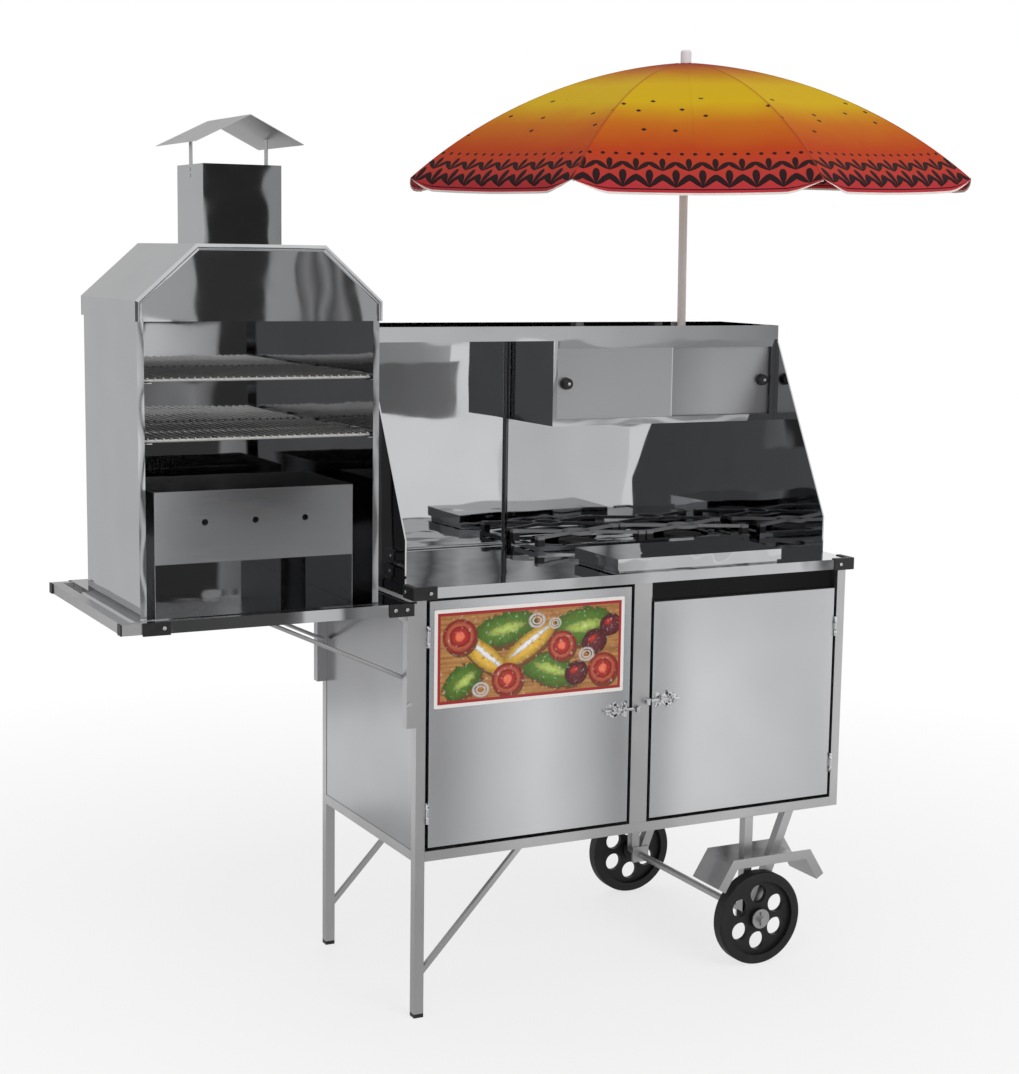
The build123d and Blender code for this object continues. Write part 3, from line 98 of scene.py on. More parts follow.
def metres(name, description, default):
    """A property that holds a length."""
    return FloatProperty(name=name, description=description, default=default, unit="LENGTH")


def srgb(name, description, default):
    """A property that holds a colour as an sRGB hex value."""
    return StringProperty(name=name, description=description, default=default)


class CartFinish(bpy.types.PropertyGroup):
    """Colours of the metal, plastic and rubber"""

    tube: srgb("Tube", "Satin stainless tube", "#C2C2C3")
    sheet: srgb("Sheet", "Polished stainless sheet", "#C6C7C9")
    brushed: srgb("Brushed sheet", "Brushed stainless doors", "#CDCED0")
    mill: srgb("Mill sheet", "Plain stainless sheet", "#B7B8BA")
    bright: srgb("Bright fittings", "Chromed bolts and hinges", "#E2E2E4")
    wire: srgb("Rack wire", "Plain steel wire", "#D6D5D2")
    plastic: srgb("Plastic", "Black moulded corners", "#151516")
    iron: srgb("Iron", "Cast pan supports", "#1D1D1F")
    rubbed: srgb("Rubbed", "Bare metal on the pan supports", "#8E8F91")
    shade: srgb("Shade", "Steel in the shade of a lap or seam", "#3A3B3D")
    rubber: srgb("Rubber", "Moulded wheels", "#0D0D0E")
    enamel: srgb("Enamel", "White parasol pole", "#F3F5FA")
    rivet: srgb("Rivet", "Aluminium rivet heads", "#D2D3D5")


class ParasolCloth(bpy.types.PropertyGroup):
    """Shape and colours of the parasol's cloth"""

    top: metres("Top", "Height of the cloth's top", 1.9075)
    radius: metres("Radius", "Pole to rib end", 0.640)
    rise: metres("Rise", "Top above the rib ends", 0.251)
    sink: metres("Sink", "Top above the cloth half way out", 0.068)
    hem: metres("Hem", "Drop of the hanging hem", 0.024)
    notch: metres("Notch", "Half width of the hem's notch at a rib", 0.062)
    cap: metres("Cap", "Radius of the top cap", 0.034)
    wall: metres("Wall", "Thickness of the cloth", 0.0009)
    sag: metres("Sag", "How far a gore sinks between two ribs", 0.006)
    seam: metres("Seam", "How far a sewn seam stands up", 0.0012)
    folded: FloatProperty(
        name="Folded", description="Share of width that a folded gore keeps", default=0.93, subtype="FACTOR"
    )
    crown: srgb("Crown", "Colour round the top", "#A63E26")
    amber: srgb("Amber", "Band between crown and yellow", "#C97A18")
    yellow: srgb("Yellow", "Brightest band", "#E2B91A")
    orange: srgb("Orange", "Middle band", "#D2751E")
    red: srgb("Red", "Lower band", "#C4481E")
    hem_red: srgb("Hem red", "Band at the hem", "#C03842")
    ink: srgb("Ink", "Dark print", "#2E1C1D")
    binding: srgb("Binding", "White tape on the hem's edge", "#F1E7E2")


class DoorPrint(bpy.types.PropertyGroup):
    """Size and colours of the printed panel on the left door"""

    left: metres("Left", "From the cabinet's left side", 0.037)
    bottom: metres("Bottom", "From the floor", 0.616)
    length: metres("Length", "Along the door", 0.420)
    height: metres("Height", "Up the door", 0.193)
    border: metres("Border", "Width of the white border", 0.007)
    line: metres("Line", "Width of the red frame line", 0.006)
    paper: srgb("Paper", "White border", "#F3EEEA")
    frame_red: srgb("Frame", "Red frame line", "#A81F22")
    board: srgb("Board", "Warm ground of the picture", "#D09A55")
    board_dark: srgb("Board dark", "Darker grain of the ground", "#8A5226")
    tomato: srgb("Tomato", "Tomato skin", "#B4231B")
    flesh: srgb("Flesh", "Cut tomato", "#DE6A4A")
    leaf: srgb("Leaf", "Salad leaf", "#4F7A1E")
    leaf_pale: srgb("Leaf rib", "Pale part of a leaf", "#A7BE58")
    corn: srgb("Corn", "Corn cob", "#E2B23A")
    onion: srgb("Onion", "Onion ring", "#EADFD8")
    beet: srgb("Beet", "Dark beetroot", "#5C1420")


class Fixings(bpy.types.PropertyGroup):
    """Sizes of the small fixings"""

    rivet: metres("Rivet", "Diameter of a rivet head", 0.008)
    screw: metres("Screw", "Diameter of a screw head", 0.006)
    bolt: metres("Bolt", "Diameter of a bolt head", 0.011)


class Trim(bpy.types.PropertyGroup):
    """Sizes of the rolled hem and the bead"""

    rim: metres("Rim", "Height of the hood's upright rim", 0.036)
    slope: metres("Slope", "Width of the hood's sloping side", 0.112)
    hem: metres("Hem", "Width of the hood's hem", 0.011)
    roll: metres("Roll", "How far the hem stands out", 0.0018)
    wall: metres("Wall", "Thickness of the rolled edge", 0.0006)
    bead: metres("Bead", "Width and height of the bead", 0.005)
    seam: metres("Seam", "From the cabinet's left side to the seam", 0.4085)
    back: metres("Back", "From the cabinet's front to the back panel", 0.453)


class StudioStage(bpy.types.PropertyGroup):
    """Camera and light"""

    eye: FloatVectorProperty(
        name="Eye", description="Camera place", default=on_cart(-1540.975, -3374, 1488), subtype="XYZ"
    )
    ahead: FloatVectorProperty(
        name="Ahead", description="Viewing direction", default=(0.4529, 0.8801, -0.1423), subtype="XYZ"
    )
    upward: FloatVectorProperty(
        name="Upward", description="Image's up direction", default=(0.0524, 0.1330, 0.9897), subtype="XYZ"
    )
    lens: FloatProperty(
        name="Lens", description="Focal length for a 36 mm tall picture, in millimetres", default=66.43
    )
    floor: srgb("Floor", "Colour of the floor", "#F4F4F4")
    sky: FloatProperty(name="Sky", description="Brightness of the light from all round", default=0.5)
    lamps: FloatProperty(name="Lamps", description="Power of the main lamp", default=60.0, unit="POWER")


# Cards that only reflections see: name, X, Y and Z from the cabinet's front left edge in metres, then their
# brightness as steps from left to right. An upright card has one Y, one that lies flat has one Z. Most stand
# in one wall before the cart, some just before that wall, and two close to the cabinet's doors.
WALL, FORE, DOORS = -2.2, -2.19, -0.3
EVEN_DARK = ((0, 0.05), (1, 0.05))
CARDS = (
    ("hood", (0.05, 0.95), WALL, (1.275, 1.5), (
        (0, 0.55), (0.262, 0.5), (0.268, 0.045), (0.535, 0.045), (0.541, 0.42), (0.615, 0.4), (0.62, 0.12),
        (0.66, 0.3), (0.69, 0.1), (0.72, 0.34), (0.75, 0.1), (0.78, 0.3), (0.81, 0.08), (0.85, 0.08),
        (0.86, 0.5), (1, 0.5),
    )),
    ("chimney", (0.39, 0.64), WALL, (1.5, 1.8), (
        (0, 0.5), (0.05, 0.4), (0.055, 0.03), (0.76, 0.03), (0.765, 0.4), (0.97, 0.35), (1, 0.05),
    )),
    ("grill", (0.21, 1.0), WALL, (0.77, 1.275), ((0, 0.1), (0.12, 0.04), (1, 0.04))),
    ("grill_glint", (0.34, 0.6), FORE, (1.12, 1.262), ((0, 0.8), (0.5, 0.62), (0.9, 0.4), (1, 0.06))),
    ("grill_gleam", (0.34, 0.6), FORE, (0.94, 1.06), ((0, 0.16), (0.6, 0.3), (0.9, 0.16), (1, 0.04))),
    ("grill_foot", (-0.2, 0.13), -0.6, (0.92, 1.03), ((0, 0.05), (0.74, 0.05), (0.78, 0.28), (1, 0.2))),
    ("left_flange", (0.116, 0.138), FORE, (0.4, 1.275), ((0, 0.75), (0.6, 0.75), (0.65, 0.1), (1, 0.1))),
    ("right_flange", (0.856, 0.878), FORE, (0.4, 1.275), ((0, 0.5), (1, 0.7))),
    ("coal", (0.1, 1.0), WALL, (0.452, 0.77), ((0, 0.18), (0.5, 0.22), (1, 0.16))),
    ("shelf", (0.1, 1.0), WALL, (0.3, 0.452), (
        (0, 0.3), (0.12, 0.08), (0.5, 0.1), (0.56, 0.3), (0.58, 0.8), (0.7, 0.75), (0.72, 0.16), (0.8, 0.34),
        (1, 0.34),
    )),
    ("worktop", (1.1, 3.6), WALL, (1.27, 2.3), (
        (0, 0.55), (0.1, 0.6), (0.14, 0.12), (0.2, 0.65), (0.26, 0.1), (0.31, 0.7), (0.36, 0.12), (0.41, 0.6),
        (0.45, 0.12), (0.49, 0.7), (0.6, 0.6), (0.64, 0.06), (1, 0.08),
    )),
    ("roof", (1.0, 2.75), WALL, (1.17, 1.27), ((0, 0.8), (0.5, 0.66), (0.8, 0.45), (1, 0.3))),
    ("locker", (1.75, 2.75), WALL, (0.86, 1.17), ((0, 0.44), (0.5, 0.42), (0.55, 0.34), (1, 0.36))),
    ("locker_sill", (1.75, 2.68), FORE, (0.884, 0.911), ((0, 1), (0.2, 0.6), (0.4, 0.9), (1, 0.5))),
    ("locker_jamb", (1.751, 1.768), FORE, (0.911, 1.17), ((0, 0.8), (0.6, 0.8), (0.65, 0.05), (1, 0.05))),
    ("mid", (1.77, 2.3), WALL, (0.485, 0.855), ((0, 0.76), (1, 0.8))),
    ("swoosh", (1.05, 1.63), WALL, (0.905, 1.1), (
        (0, 0.13), (0.5, 0.17), (0.85, 0.22), (0.93, 0.26), (0.945, 0.98), (1, 0.98),
    )),
    ("swoosh_top", (1.05, 1.55), WALL, (1.1, 1.17), ((0, 0.3), (0.7, 0.36), (1, 0.5))),
    ("lip", (1.0, 2.7), WALL, (0.36, 0.48), (
        (0, 0.8), (0.3, 0.8), (0.4, 0.5), (0.5, 0.8), (0.86, 0.9), (0.92, 0.2), (1, 0.15),
    )),
    ("left_door", (0.162, 0.655), DOORS, (0.15, 0.775), (
        (0, 0.34), (0.3, 0.72), (0.55, 1), (0.8, 0.7), (1, 0.26),
    )),
    ("right_door", (0.71, 1.2), DOORS, (0.15, 0.735), (
        (0, 0.3), (0.06, 0.6), (0.2, 1), (0.6, 0.86), (1, 0.8),
    )),
    ("apron", (0.54, 1.02), 0.01, (0.772, 0.83), ((0, 0.03), (0.5, 0.03), (1, 0.02))),
    ("wing", (-2.4, -0.3), -2.5, (0.0, 1.7), ((0, 0.12), (0.5, 0.16), (1, 0.11))),
    ("gap", (-1.06, -0.5), 2.4, (0.3, 1.4), EVEN_DARK),
    ("gap_right", (0.4, 0.95), 2.4, (0.3, 1.6), EVEN_DARK),
    ("back", (-1.75, 0.9), 2.5, (0.0, 3.6), ((0, 0.62), (0.6, 0.58), (1, 0.4))),
    ("floor", (-0.6, 1.6), (-2.2, 1.4), 0.003, ((0, 0.5), (0.5, 0.48), (1, 0.46))),
)


def settings(name):
    """One of this add-on's property groups."""
    return getattr(bpy.context.scene, name)


def linear(hex_value):
    """A linear RGBA colour from an sRGB hex value."""
    channels = [int(hex_value[i : i + 2], 16) / 255 for i in (1, 3, 5)]
    return (*[c / 12.92 if c <= 0.04045 else ((c + 0.055) / 1.055) ** 2.4 for c in channels], 1.0)


def toned(colour, factor, lift=0.0):
    """A colour made darker or brighter."""
    return (*[min(1.0, c * factor + lift) for c in colour[:3]], 1.0)


def add_node(tree, kind, inputs=None, **options):
    """Add a shader node with its options and inputs, each a value or a socket; returns its outputs."""
    made = tree.nodes.new("ShaderNode" + kind)
    for option, value in options.items():
        setattr(made, option, value)
    for place, value in (inputs or {}).items():
        if isinstance(value, bpy.types.NodeSocket):
            tree.links.new(value, made.inputs[place])
        else:
            made.inputs[place].default_value = value
    return made.outputs


def object_place(tree):
    """The place on an object, in its own coordinates."""
    return add_node(tree, "TexCoord")["Object"]


def axes(tree, vector):
    """A vector's X, Y and Z."""
    return add_node(tree, "SeparateXYZ", {"Vector": vector})


def sum_up(tree, operation, *terms):
    """The result of a Math node; each term is a number or a socket."""
    return add_node(tree, "Math", dict(enumerate(terms)), operation=operation)["Value"]


def blend_colour(tree, share, under, over):
    """Colour over laid on colour under by a share; each colour is an RGBA value or a socket."""
    inputs = {MIX_SHARE: share, MIX_UNDER: under, MIX_OVER: over}
    return add_node(tree, "Mix", inputs, data_type="RGBA")[MIX_RESULT]


def ranged(tree, source, start, end, low=0.0, high=1.0):
    """A value mapped from the range start to end onto low to high."""
    inputs = {"Value": source, "From Min": start, "From Max": end, "To Min": low, "To Max": high}
    return add_node(tree, "MapRange", inputs)["Result"]


def emptied(owner):
    """The node tree of a material or world, without any nodes."""
    owner.use_nodes = True
    owner.node_tree.nodes.clear()
    return owner.node_tree


def new_material(name, **sockets):
    """A material with one Principled shader; returns the material, its node tree and the shader's sockets."""
    material = bpy.data.materials.new(name)
    tree = emptied(material)
    shader = tree.nodes.new("ShaderNodeBsdfPrincipled")
    for socket, value in sockets.items():
        shader.inputs[socket.replace("_", " ")].default_value = value
    add_node(tree, "OutputMaterial", {"Surface": shader.outputs["BSDF"]})
    return material, tree, shader.inputs


def reopen(material):
    """A finished material's node tree and its shader's sockets."""
    tree = material.node_tree
    return tree, tree.nodes["Principled BSDF"].inputs


def variant(material, name):
    """A copy of a material under its own name."""
    made = material.copy()
    made.name = name
    return made


def band(tree, source, low, high, steps):
    """A colour ramp over source, mapped from the range low to high; steps are (place, colour) pairs."""
    ramp = tree.nodes.new("ShaderNodeValToRGB")
    tree.links.new(ranged(tree, source, low, high), ramp.inputs["Fac"])
    while len(ramp.color_ramp.elements) < len(steps):
        ramp.color_ramp.elements.new(0.5)
    for element, (place, colour) in zip(ramp.color_ramp.elements, steps):
        element.position = place
        element.color = colour
    return ramp.outputs["Color"]


def noise(tree, place, size_mm, detail):
    """Noise whose features are size_mm across; a tuple of three sizes stretches it."""
    scale = 1.0
    if isinstance(size_mm, tuple):
        per_metre = [1 / (size * MM) for size in size_mm]
        place = add_node(tree, "Mapping", {"Scale": per_metre, "Vector": place})["Vector"]
    else:
        scale = 1 / (size_mm * MM)
    return add_node(tree, "TexNoise", {"Scale": scale, "Detail": detail, "Vector": place})["Fac"]


def bumped(tree, height, depth_mm, strength=1.0, normal=None):
    """A normal bumped by a height."""
    inputs = {"Height": height, "Strength": strength, "Distance": depth_mm * MM}
    if normal:
        inputs["Normal"] = normal
    return add_node(tree, "Bump", inputs)["Normal"]


def metal(
    name, colour, roughness, spread, grain_mm, grain_depth, wave_mm, wave_depth,
    smear=0.0, hollows=0.93, ridge=1.0,
):
    """Metal with a drawn grain and a slow wave in the sheet.

    grain_mm is the grain's size along X, Y and Z; wave_mm the distance between two waves; smear stretches
    reflections up and down. Shade is painted into the wave's hollows: hollows is the share of its colour that
    the metal keeps there, and ridge the place up the wave where it has all of it.
    """
    material, tree, shader = new_material(name, Metallic=1.0, Anisotropic=smear)
    place = object_place(tree)
    grain = noise(tree, place, grain_mm, 3.0)
    wave = noise(tree, place, wave_mm, 1.0)
    base = linear(colour)
    # Painted shade: the colour darkens towards the wave's hollows
    tones = [(0.0, toned(base, hollows)), (ridge, base)]
    tree.links.new(band(tree, wave, *NOISE_SPAN, tones), shader["Base Color"])
    rough = ranged(tree, grain, *NOISE_SPAN, roughness - spread, roughness + spread)
    tree.links.new(rough, shader["Roughness"])
    tree.links.new(bumped(tree, grain, grain_depth, 1.0, bumped(tree, wave, wave_depth)), shader["Normal"])
    if smear:
        upright = add_node(tree, "Tangent", direction_type="RADIAL", axis="X")
        tree.links.new(upright["Tangent"], shader["Tangent"])
    return material


def polish(material, corner, roughness):
    """Polish what lies to the right of and in front of a corner."""
    tree, shader = reopen(material)
    calc = partial(sum_up, tree)
    split = axes(tree, object_place(tree))
    right = calc("GREATER_THAN", split["X"], corner.x)
    inside = calc("MULTIPLY", right, calc("LESS_THAN", split["Y"], corner.y))
    plain = calc("MULTIPLY", shader["Roughness"].links[0].from_socket, calc("SUBTRACT", 1.0, inside))
    tree.links.new(calc("MULTIPLY_ADD", inside, roughness, plain), shader["Roughness"])


def blend_along(material, colour, axis, origin, span, most=0.9):
    """Let another colour come in along an axis. It lays painted shade and painted highlights on the steel,
    and the lighter grey on the pan supports' tops.

    span holds two places, measured from the origin: there is none of the colour up to the first, and most of
    it from the second on.
    """
    tree, shader = reopen(material)
    base = shader["Base Color"]
    along = axes(tree, object_place(tree))[axis]
    share = ranged(tree, along, origin + span[0], origin + span[1], 0.0, most)
    tree.links.new(blend_colour(tree, share, base.links[0].from_socket, linear(colour)), base)


def moulded(name, colour, roughness, grit_mm, depth, tone=0.35):
    """A matt moulded, cast or painted surface with a fine grit and slight tone changes."""
    material, tree, shader = new_material(name, Roughness=roughness)
    place = object_place(tree)
    base = linear(colour)
    tones = [(0.0, base), (1.0, toned(base, 1 + tone, 0.004))]
    cloud = noise(tree, place, grit_mm * CLOUD_TO_GRIT, 3.0)
    tree.links.new(band(tree, cloud, *NOISE_SPAN, tones), shader["Base Color"])
    tree.links.new(bumped(tree, noise(tree, place, grit_mm, 4.0), depth, 0.6), shader["Normal"])
    return material


def dress(material, *names):
    """Give CAD nodes a material."""
    for name in names:
        slots = nodes[name].data.materials
        slots.clear()
        slots.append(material)


def grid(columns, rows, placing=Matrix()):
    """A new bmesh with a grid over the square from -1 to 1 in X and Y, then placed by a matrix."""
    builder = bmesh.new()
    bmesh.ops.create_grid(builder, x_segments=columns, y_segments=rows, size=1.0, matrix=placing)
    return builder


def rectangle(centre, width, height, flat=False):
    """A new bmesh with one rectangle that stands facing the front, or lies flat."""
    size = Matrix.Diagonal((width / 2, height / 2, 1, 1))
    return grid(1, 1, Matrix.Translation(centre) @ Matrix.Rotation(0 if flat else pi / 2, 4, "X") @ size)


def rounded(builder, geom, offset, segments=3, affect="EDGES"):
    """Round edges or corners."""
    bmesh.ops.bevel(
        builder, geom=geom, offset=offset, segments=segments, profile=0.5, affect=affect, material=-1
    )


def face_outward(builder):
    """Recalculate the normals."""
    bmesh.ops.recalc_face_normals(builder, faces=builder.faces)


def smooth_faces(builder):
    """Shade every face smooth."""
    for face in builder.faces:
        face.smooth = True


def in_scene(name, data):
    """A new object in the scene."""
    made = bpy.data.objects.new(name, data)
    bpy.context.scene.collection.objects.link(made)
    return made


def new_object(builder, name, material):
    """Turn a bmesh into an object in the scene."""
    mesh = bpy.data.meshes.new(name)
    builder.to_mesh(mesh)
    builder.free()
    mesh.materials.append(material)
    return in_scene(name, mesh)


def new_piece(builder, name, body, material):
    """Turn a bmesh into a piece that rides on a body."""
    face_outward(builder)
    piece = new_object(builder, name, material)
    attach(piece, body)
    return piece


class CART_OT_steel(bpy.types.Operator):
    """Finish the stainless tubes, sheets and fittings"""

    bl_idname = "cart.steel"
    bl_label = "Steel"

    # The apron over the right door is the sheet to the right of and in front of this corner
    APRON_CORNER = on_cart(500, 25, 0)
    # Spans of the painted shade and highlight: along Y from the back panel's front, then along X from
    # the lap of the locker's doors
    TRIM_SHADE = (-1 * MM, -2 * MM)
    LAP_HIGHLIGHT = (-2.5 * MM, -2 * MM)
    LAP_SHADE = (110 * MM, 0.0)

    def execute(self, context):
        look = settings("cart_finish")
        # Each metal: colour, roughness and its spread, grain's size and depth, wave's length and depth.
        # Satin tube: ground along its length, so it gives a soft grey with no sharp reflection.
        tube = metal("satin_stainless_tube", look.tube, 0.36, 0.06, (1.2, 1.2, 1.2), 0.004, 90, 0.02)
        dress(tube, "frame_tubes", "shelf_posts", "handle_frame", "fenders", "lower_pole", "pole_socket")
        dress(tube, "shelf_prop", "axle", "rain_cap")
        # Polished sheet: nearly a mirror, but thin, so reflections swim over a slow wave.
        sheet = metal("polished_stainless_sheet", look.sheet, 0.03, 0.01, (40, 40, 40), 0.0, 170, 1.5)
        dress(sheet, "surround_sides", "roof_tray", "shelf_tray", "upper_locker")
        dress(sheet, "grill_hood", "grill_body", "chimney")
        # So is the back panel; shade is painted into the colour of the half-round trim over its seam.
        back = variant(sheet, "polished_back_and_trim")
        blend_along(back, look.shade, "Y", CORNER.y + settings("cart_trim").back, self.TRIM_SHADE)
        dress(back, "surround_back")
        # The worktop is the same sheet, dented by use: reflections break into swirls.
        dented = metal("worn_polished_worktop", look.sheet, 0.02, 0.01, (40, 40, 40), 0.0, 95, 1.0)
        dress(dented, "worktop", "griddle", "pan_frame")
        # Brushed doors: fine level scratches that pull each reflection out into an upright band.
        brushed = metal(
            "brushed_stainless_door", look.brushed, 0.26, 0.008, (120, 0.8, 0.8), 0.0, 220, 0.1, smear=0.75
        )
        dress(brushed, "left_door", "right_door")
        # Plain mill sheet on the cabinet and the coal box: soft reflections, hardly any grain.
        plain = metal("mill_finish_stainless", look.mill, 0.2, 0.02, (60, 1.0, 1.0), 0.0001, 180, 0.1)
        dress(plain, "charcoal_box")
        # On the cabinet it also covers the slot over the right door, where it is polished.
        panels = variant(plain, "mill_finish_cabinet")
        polish(panels, self.APRON_CORNER, roughness=0.03)
        dress(panels, "cabinet_panels")
        # The small doors are the same sheet, rubbed dull: no outline shows in them. The front one has a
        # painted highlight along its edge, and the rear one has painted shade at their lap.
        rubbed = metal("rubbed_stainless_door", look.mill, 0.36, 0.02, (1.0, 1.0, 60), 0.0001, 180, 0.1)
        shaded = variant(rubbed, "rubbed_stainless_rear_door")
        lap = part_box("locker_door_left")[1].x
        blend_along(rubbed, look.bright, "X", lap, self.LAP_HIGHLIGHT)
        blend_along(shaded, look.shade, "X", lap, self.LAP_SHADE, most=0.32)
        dress(rubbed, "locker_door_left")
        dress(shaded, "locker_door_right")
        # Bright plating on rough castings: sparkling highlights broken up by hollows painted dark
        # as shade.
        cast = metal(
            "bright_plated_casting", look.bright, 0.1, 0.05, (4, 4, 4), 0.3, 5, 1.2, hollows=0.03, ridge=0.5
        )
        dress(cast, "left_bolt_plate", "right_bolt_plate", "post_hardware")
        # The bolts are turned rod, plated the same but smooth.
        rod = metal("bright_plated_rod", look.bright, 0.16, 0.04, (1, 8, 8), 0.01, 30, 0.05)
        dress(rod, "left_bolt", "right_bolt")
        # Plain drawn wire: grey and dull with faint draw marks.
        wire = metal("plain_steel_wire", look.wire, 0.5, 0.06, (1, 6, 1), 0.02, 40, 0.02)
        dress(wire, "upper_rack", "lower_rack")
        return {"FINISHED"}


class CART_OT_dark_parts(bpy.types.Operator):
    """Finish the plastic, iron, rubber and enamel"""

    bl_idname = "cart.dark_parts"
    bl_label = "Plastic, iron, rubber, enamel"

    # Span of the lighter grey, down from the top of the pan supports
    LIGHTER_TOP = (-8 * MM, -6 * MM)

    def execute(self, context):
        look = settings("cart_finish")
        # Injection-moulded plastic: black with a fine spark-eroded texture.
        plastic = moulded("black_moulded_plastic", look.plastic, 0.48, 0.7, 0.03)
        dress(plastic, "foot_caps", "worktop_corners", "shelf_corners")
        dress(plastic, "locker_knob_left", "locker_knob_right")
        # Sand-cast iron: dark, rough and grainy. The bars' top few millimetres are a lighter grey, over black
        # feet and burners.
        iron = moulded("sand_cast_iron", look.iron, 0.62, 1.6, 0.18)
        blend_along(iron, look.rubbed, "Z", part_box("cast_burners")[1].z, self.LIGHTER_TOP)
        dress(iron, "cast_burners")
        # Moulded rubber-faced wheels: deep black with a dull sheen.
        rubber = moulded("moulded_black_rubber", look.rubber, 0.55, 1.1, 0.05)
        dress(rubber, "front_wheel", "rear_wheel")
        # Stoved enamel on tube and wire: smooth white.
        enamel = moulded("white_stoved_enamel", look.enamel, 0.3, 2.5, 0.01, 0.02)
        dress(enamel, "upper_pole", "runner")
        dress(enamel, *[f"{kind}_{n + 1}" for n in range(RIBS) for kind in ("rib", "stretcher")])
        return {"FINISHED"}


class CART_OT_fixings(bpy.types.Operator):
    """Add the rivets, screws and bolt heads"""

    bl_idname = "cart.fixings"
    bl_label = "Rivets, screws and bolts"

    FRONT, LEFT, BACK, RIGHT = (0, -1, 0), (-1, 0, 0), (0, 1, 0), (1, 0, 0)
    RIVET_FROM_END = 36 * MM
    RIVET_NEAR_END = 12 * MM
    POST_BOLT_HEIGHTS = (808 * MM, 629 * MM)
    PLATE_WALL = 2 * MM
    SCREW_INSET = 6 * MM
    CHIMNEY_RIVET_DROPS = (9 * MM, 20 * MM)
    HEXAGON = 6
    # Parts of a head, as shares of its diameter, and how deep it sits in the sheet
    HEIGHT, CROWN_RADIUS, ROUNDING, DIMPLE_RIM, DIMPLE_DEPTH = 0.34, 0.44, 0.07, 0.2, 0.08
    SUNK = 0.2 * MM

    def execute(self, context):
        sizes = settings("cart_fixings")
        look = settings("cart_finish")
        # Turned and plated heads: pale, with a slightly uneven shine.
        shine = metal("plated_screw_heads", look.rivet, 0.22, 0.08, (2, 2, 2), 0.02, 8, 0.05)
        # Screw heads on the bolts' plates, made dark as painted shade of their holes: dark dots.
        dark = moulded("screw_heads_in_painted_shade", look.iron, 0.45, 0.7, 0.02)
        along = self.RIVET_FROM_END
        low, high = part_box("worktop_corners")
        lip = (low.z + high.z) / 2
        rivets = []
        for x, way in ((low.x, 1), (high.x, -1)):
            for y, facing in ((low.y, self.FRONT), (high.y, self.BACK)):
                rivets.append(((x + way * along, y, lip), facing))
        for y, way in ((low.y, 1), (high.y, -1)):
            for x, facing in ((low.x, self.LEFT), (high.x, self.RIGHT)):
                rivets.append(((x, y + way * along, lip), facing))
        self.heads("worktop_rivets", "cart", rivets, sizes.rivet, shine)
        low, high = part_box("shelf_tray")
        lip = (low.z + high.z) / 2
        caps_low, caps_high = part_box("shelf_corners")
        rivets = []
        for y, facing in ((caps_low.y, self.FRONT), (caps_high.y, self.BACK)):
            for x in (low.x + along, high.x - along, high.x - self.RIVET_NEAR_END):
                rivets.append(((x, y, lip), facing))
        self.heads("shelf_rivets", "shelf", rivets, sizes.rivet, shine)
        low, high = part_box("shelf_posts")
        middle = (low.x + high.x) / 2
        bolts = [((middle, low.y, z), self.FRONT) for z in self.POST_BOLT_HEIGHTS]
        self.heads("post_bolts", "cart", bolts, sizes.bolt, shine, self.HEXAGON)
        for side in ("left", "right"):
            low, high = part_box(f"{side}_bolt_plate")
            middle, face = (low.x + high.x) / 2, CORNER.y - self.PLATE_WALL
            heights = (low.z + self.SCREW_INSET, high.z - self.SCREW_INSET)
            spots = [((middle, face, z), self.FRONT) for z in heights]
            self.heads(f"{side}_plate_screws", f"{side}_door", spots, sizes.screw, dark)
            low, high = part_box(f"locker_knob_{side}")
            spots = [(((low.x + high.x) / 2, low.y, (low.z + high.z) / 2), self.FRONT)]
            self.heads(f"locker_knob_screw_{side}", f"locker_door_{side}", spots, sizes.rivet, shine)
        low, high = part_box("chimney")
        middle = (low.y + high.y) / 2
        spots = []
        for x, facing in ((low.x, self.LEFT), (high.x, self.RIGHT)):
            for drop in self.CHIMNEY_RIVET_DROPS:
                spots.append(((x, middle, high.z - drop), facing))
        self.heads("chimney_rivets", "grill", spots, sizes.screw, shine)
        return {"FINISHED"}

    def heads(self, name, body, spots, size, material, sides=20):
        """Round or hexagon heads with a rounded rim and a small sunk centre, in one piece."""
        builder = bmesh.new()
        height = size * self.HEIGHT
        for place, facing in spots:
            middle, outward = Vector(place), Vector(facing)
            turn = outward.to_track_quat("Z", "Y").to_matrix().to_4x4()
            placing = Matrix.Translation(middle) @ turn @ Matrix.Translation((0, 0, height / 2 - self.SUNK))
            bmesh.ops.create_cone(
                builder, cap_ends=True, segments=sides, radius1=size / 2, radius2=size * self.CROWN_RADIUS,
                depth=height, matrix=placing,
            )
            rounded(builder, self.crown(builder, middle, outward, size).edges[:], size * self.ROUNDING)
            crown = self.crown(builder, middle, outward, size)
            bmesh.ops.inset_region(builder, faces=[crown], thickness=size * self.DIMPLE_RIM)
            bmesh.ops.translate(builder, verts=crown.verts, vec=-outward * size * self.DIMPLE_DEPTH)
        smooth_faces(builder)
        new_piece(builder, name, body, material)

    def crown(self, builder, middle, outward, size):
        """The outermost face of the head at a place."""
        near = [face for face in builder.faces if (face.calc_center_median() - middle).length < size]
        return max(near, key=lambda face: face.calc_center_median().dot(outward))


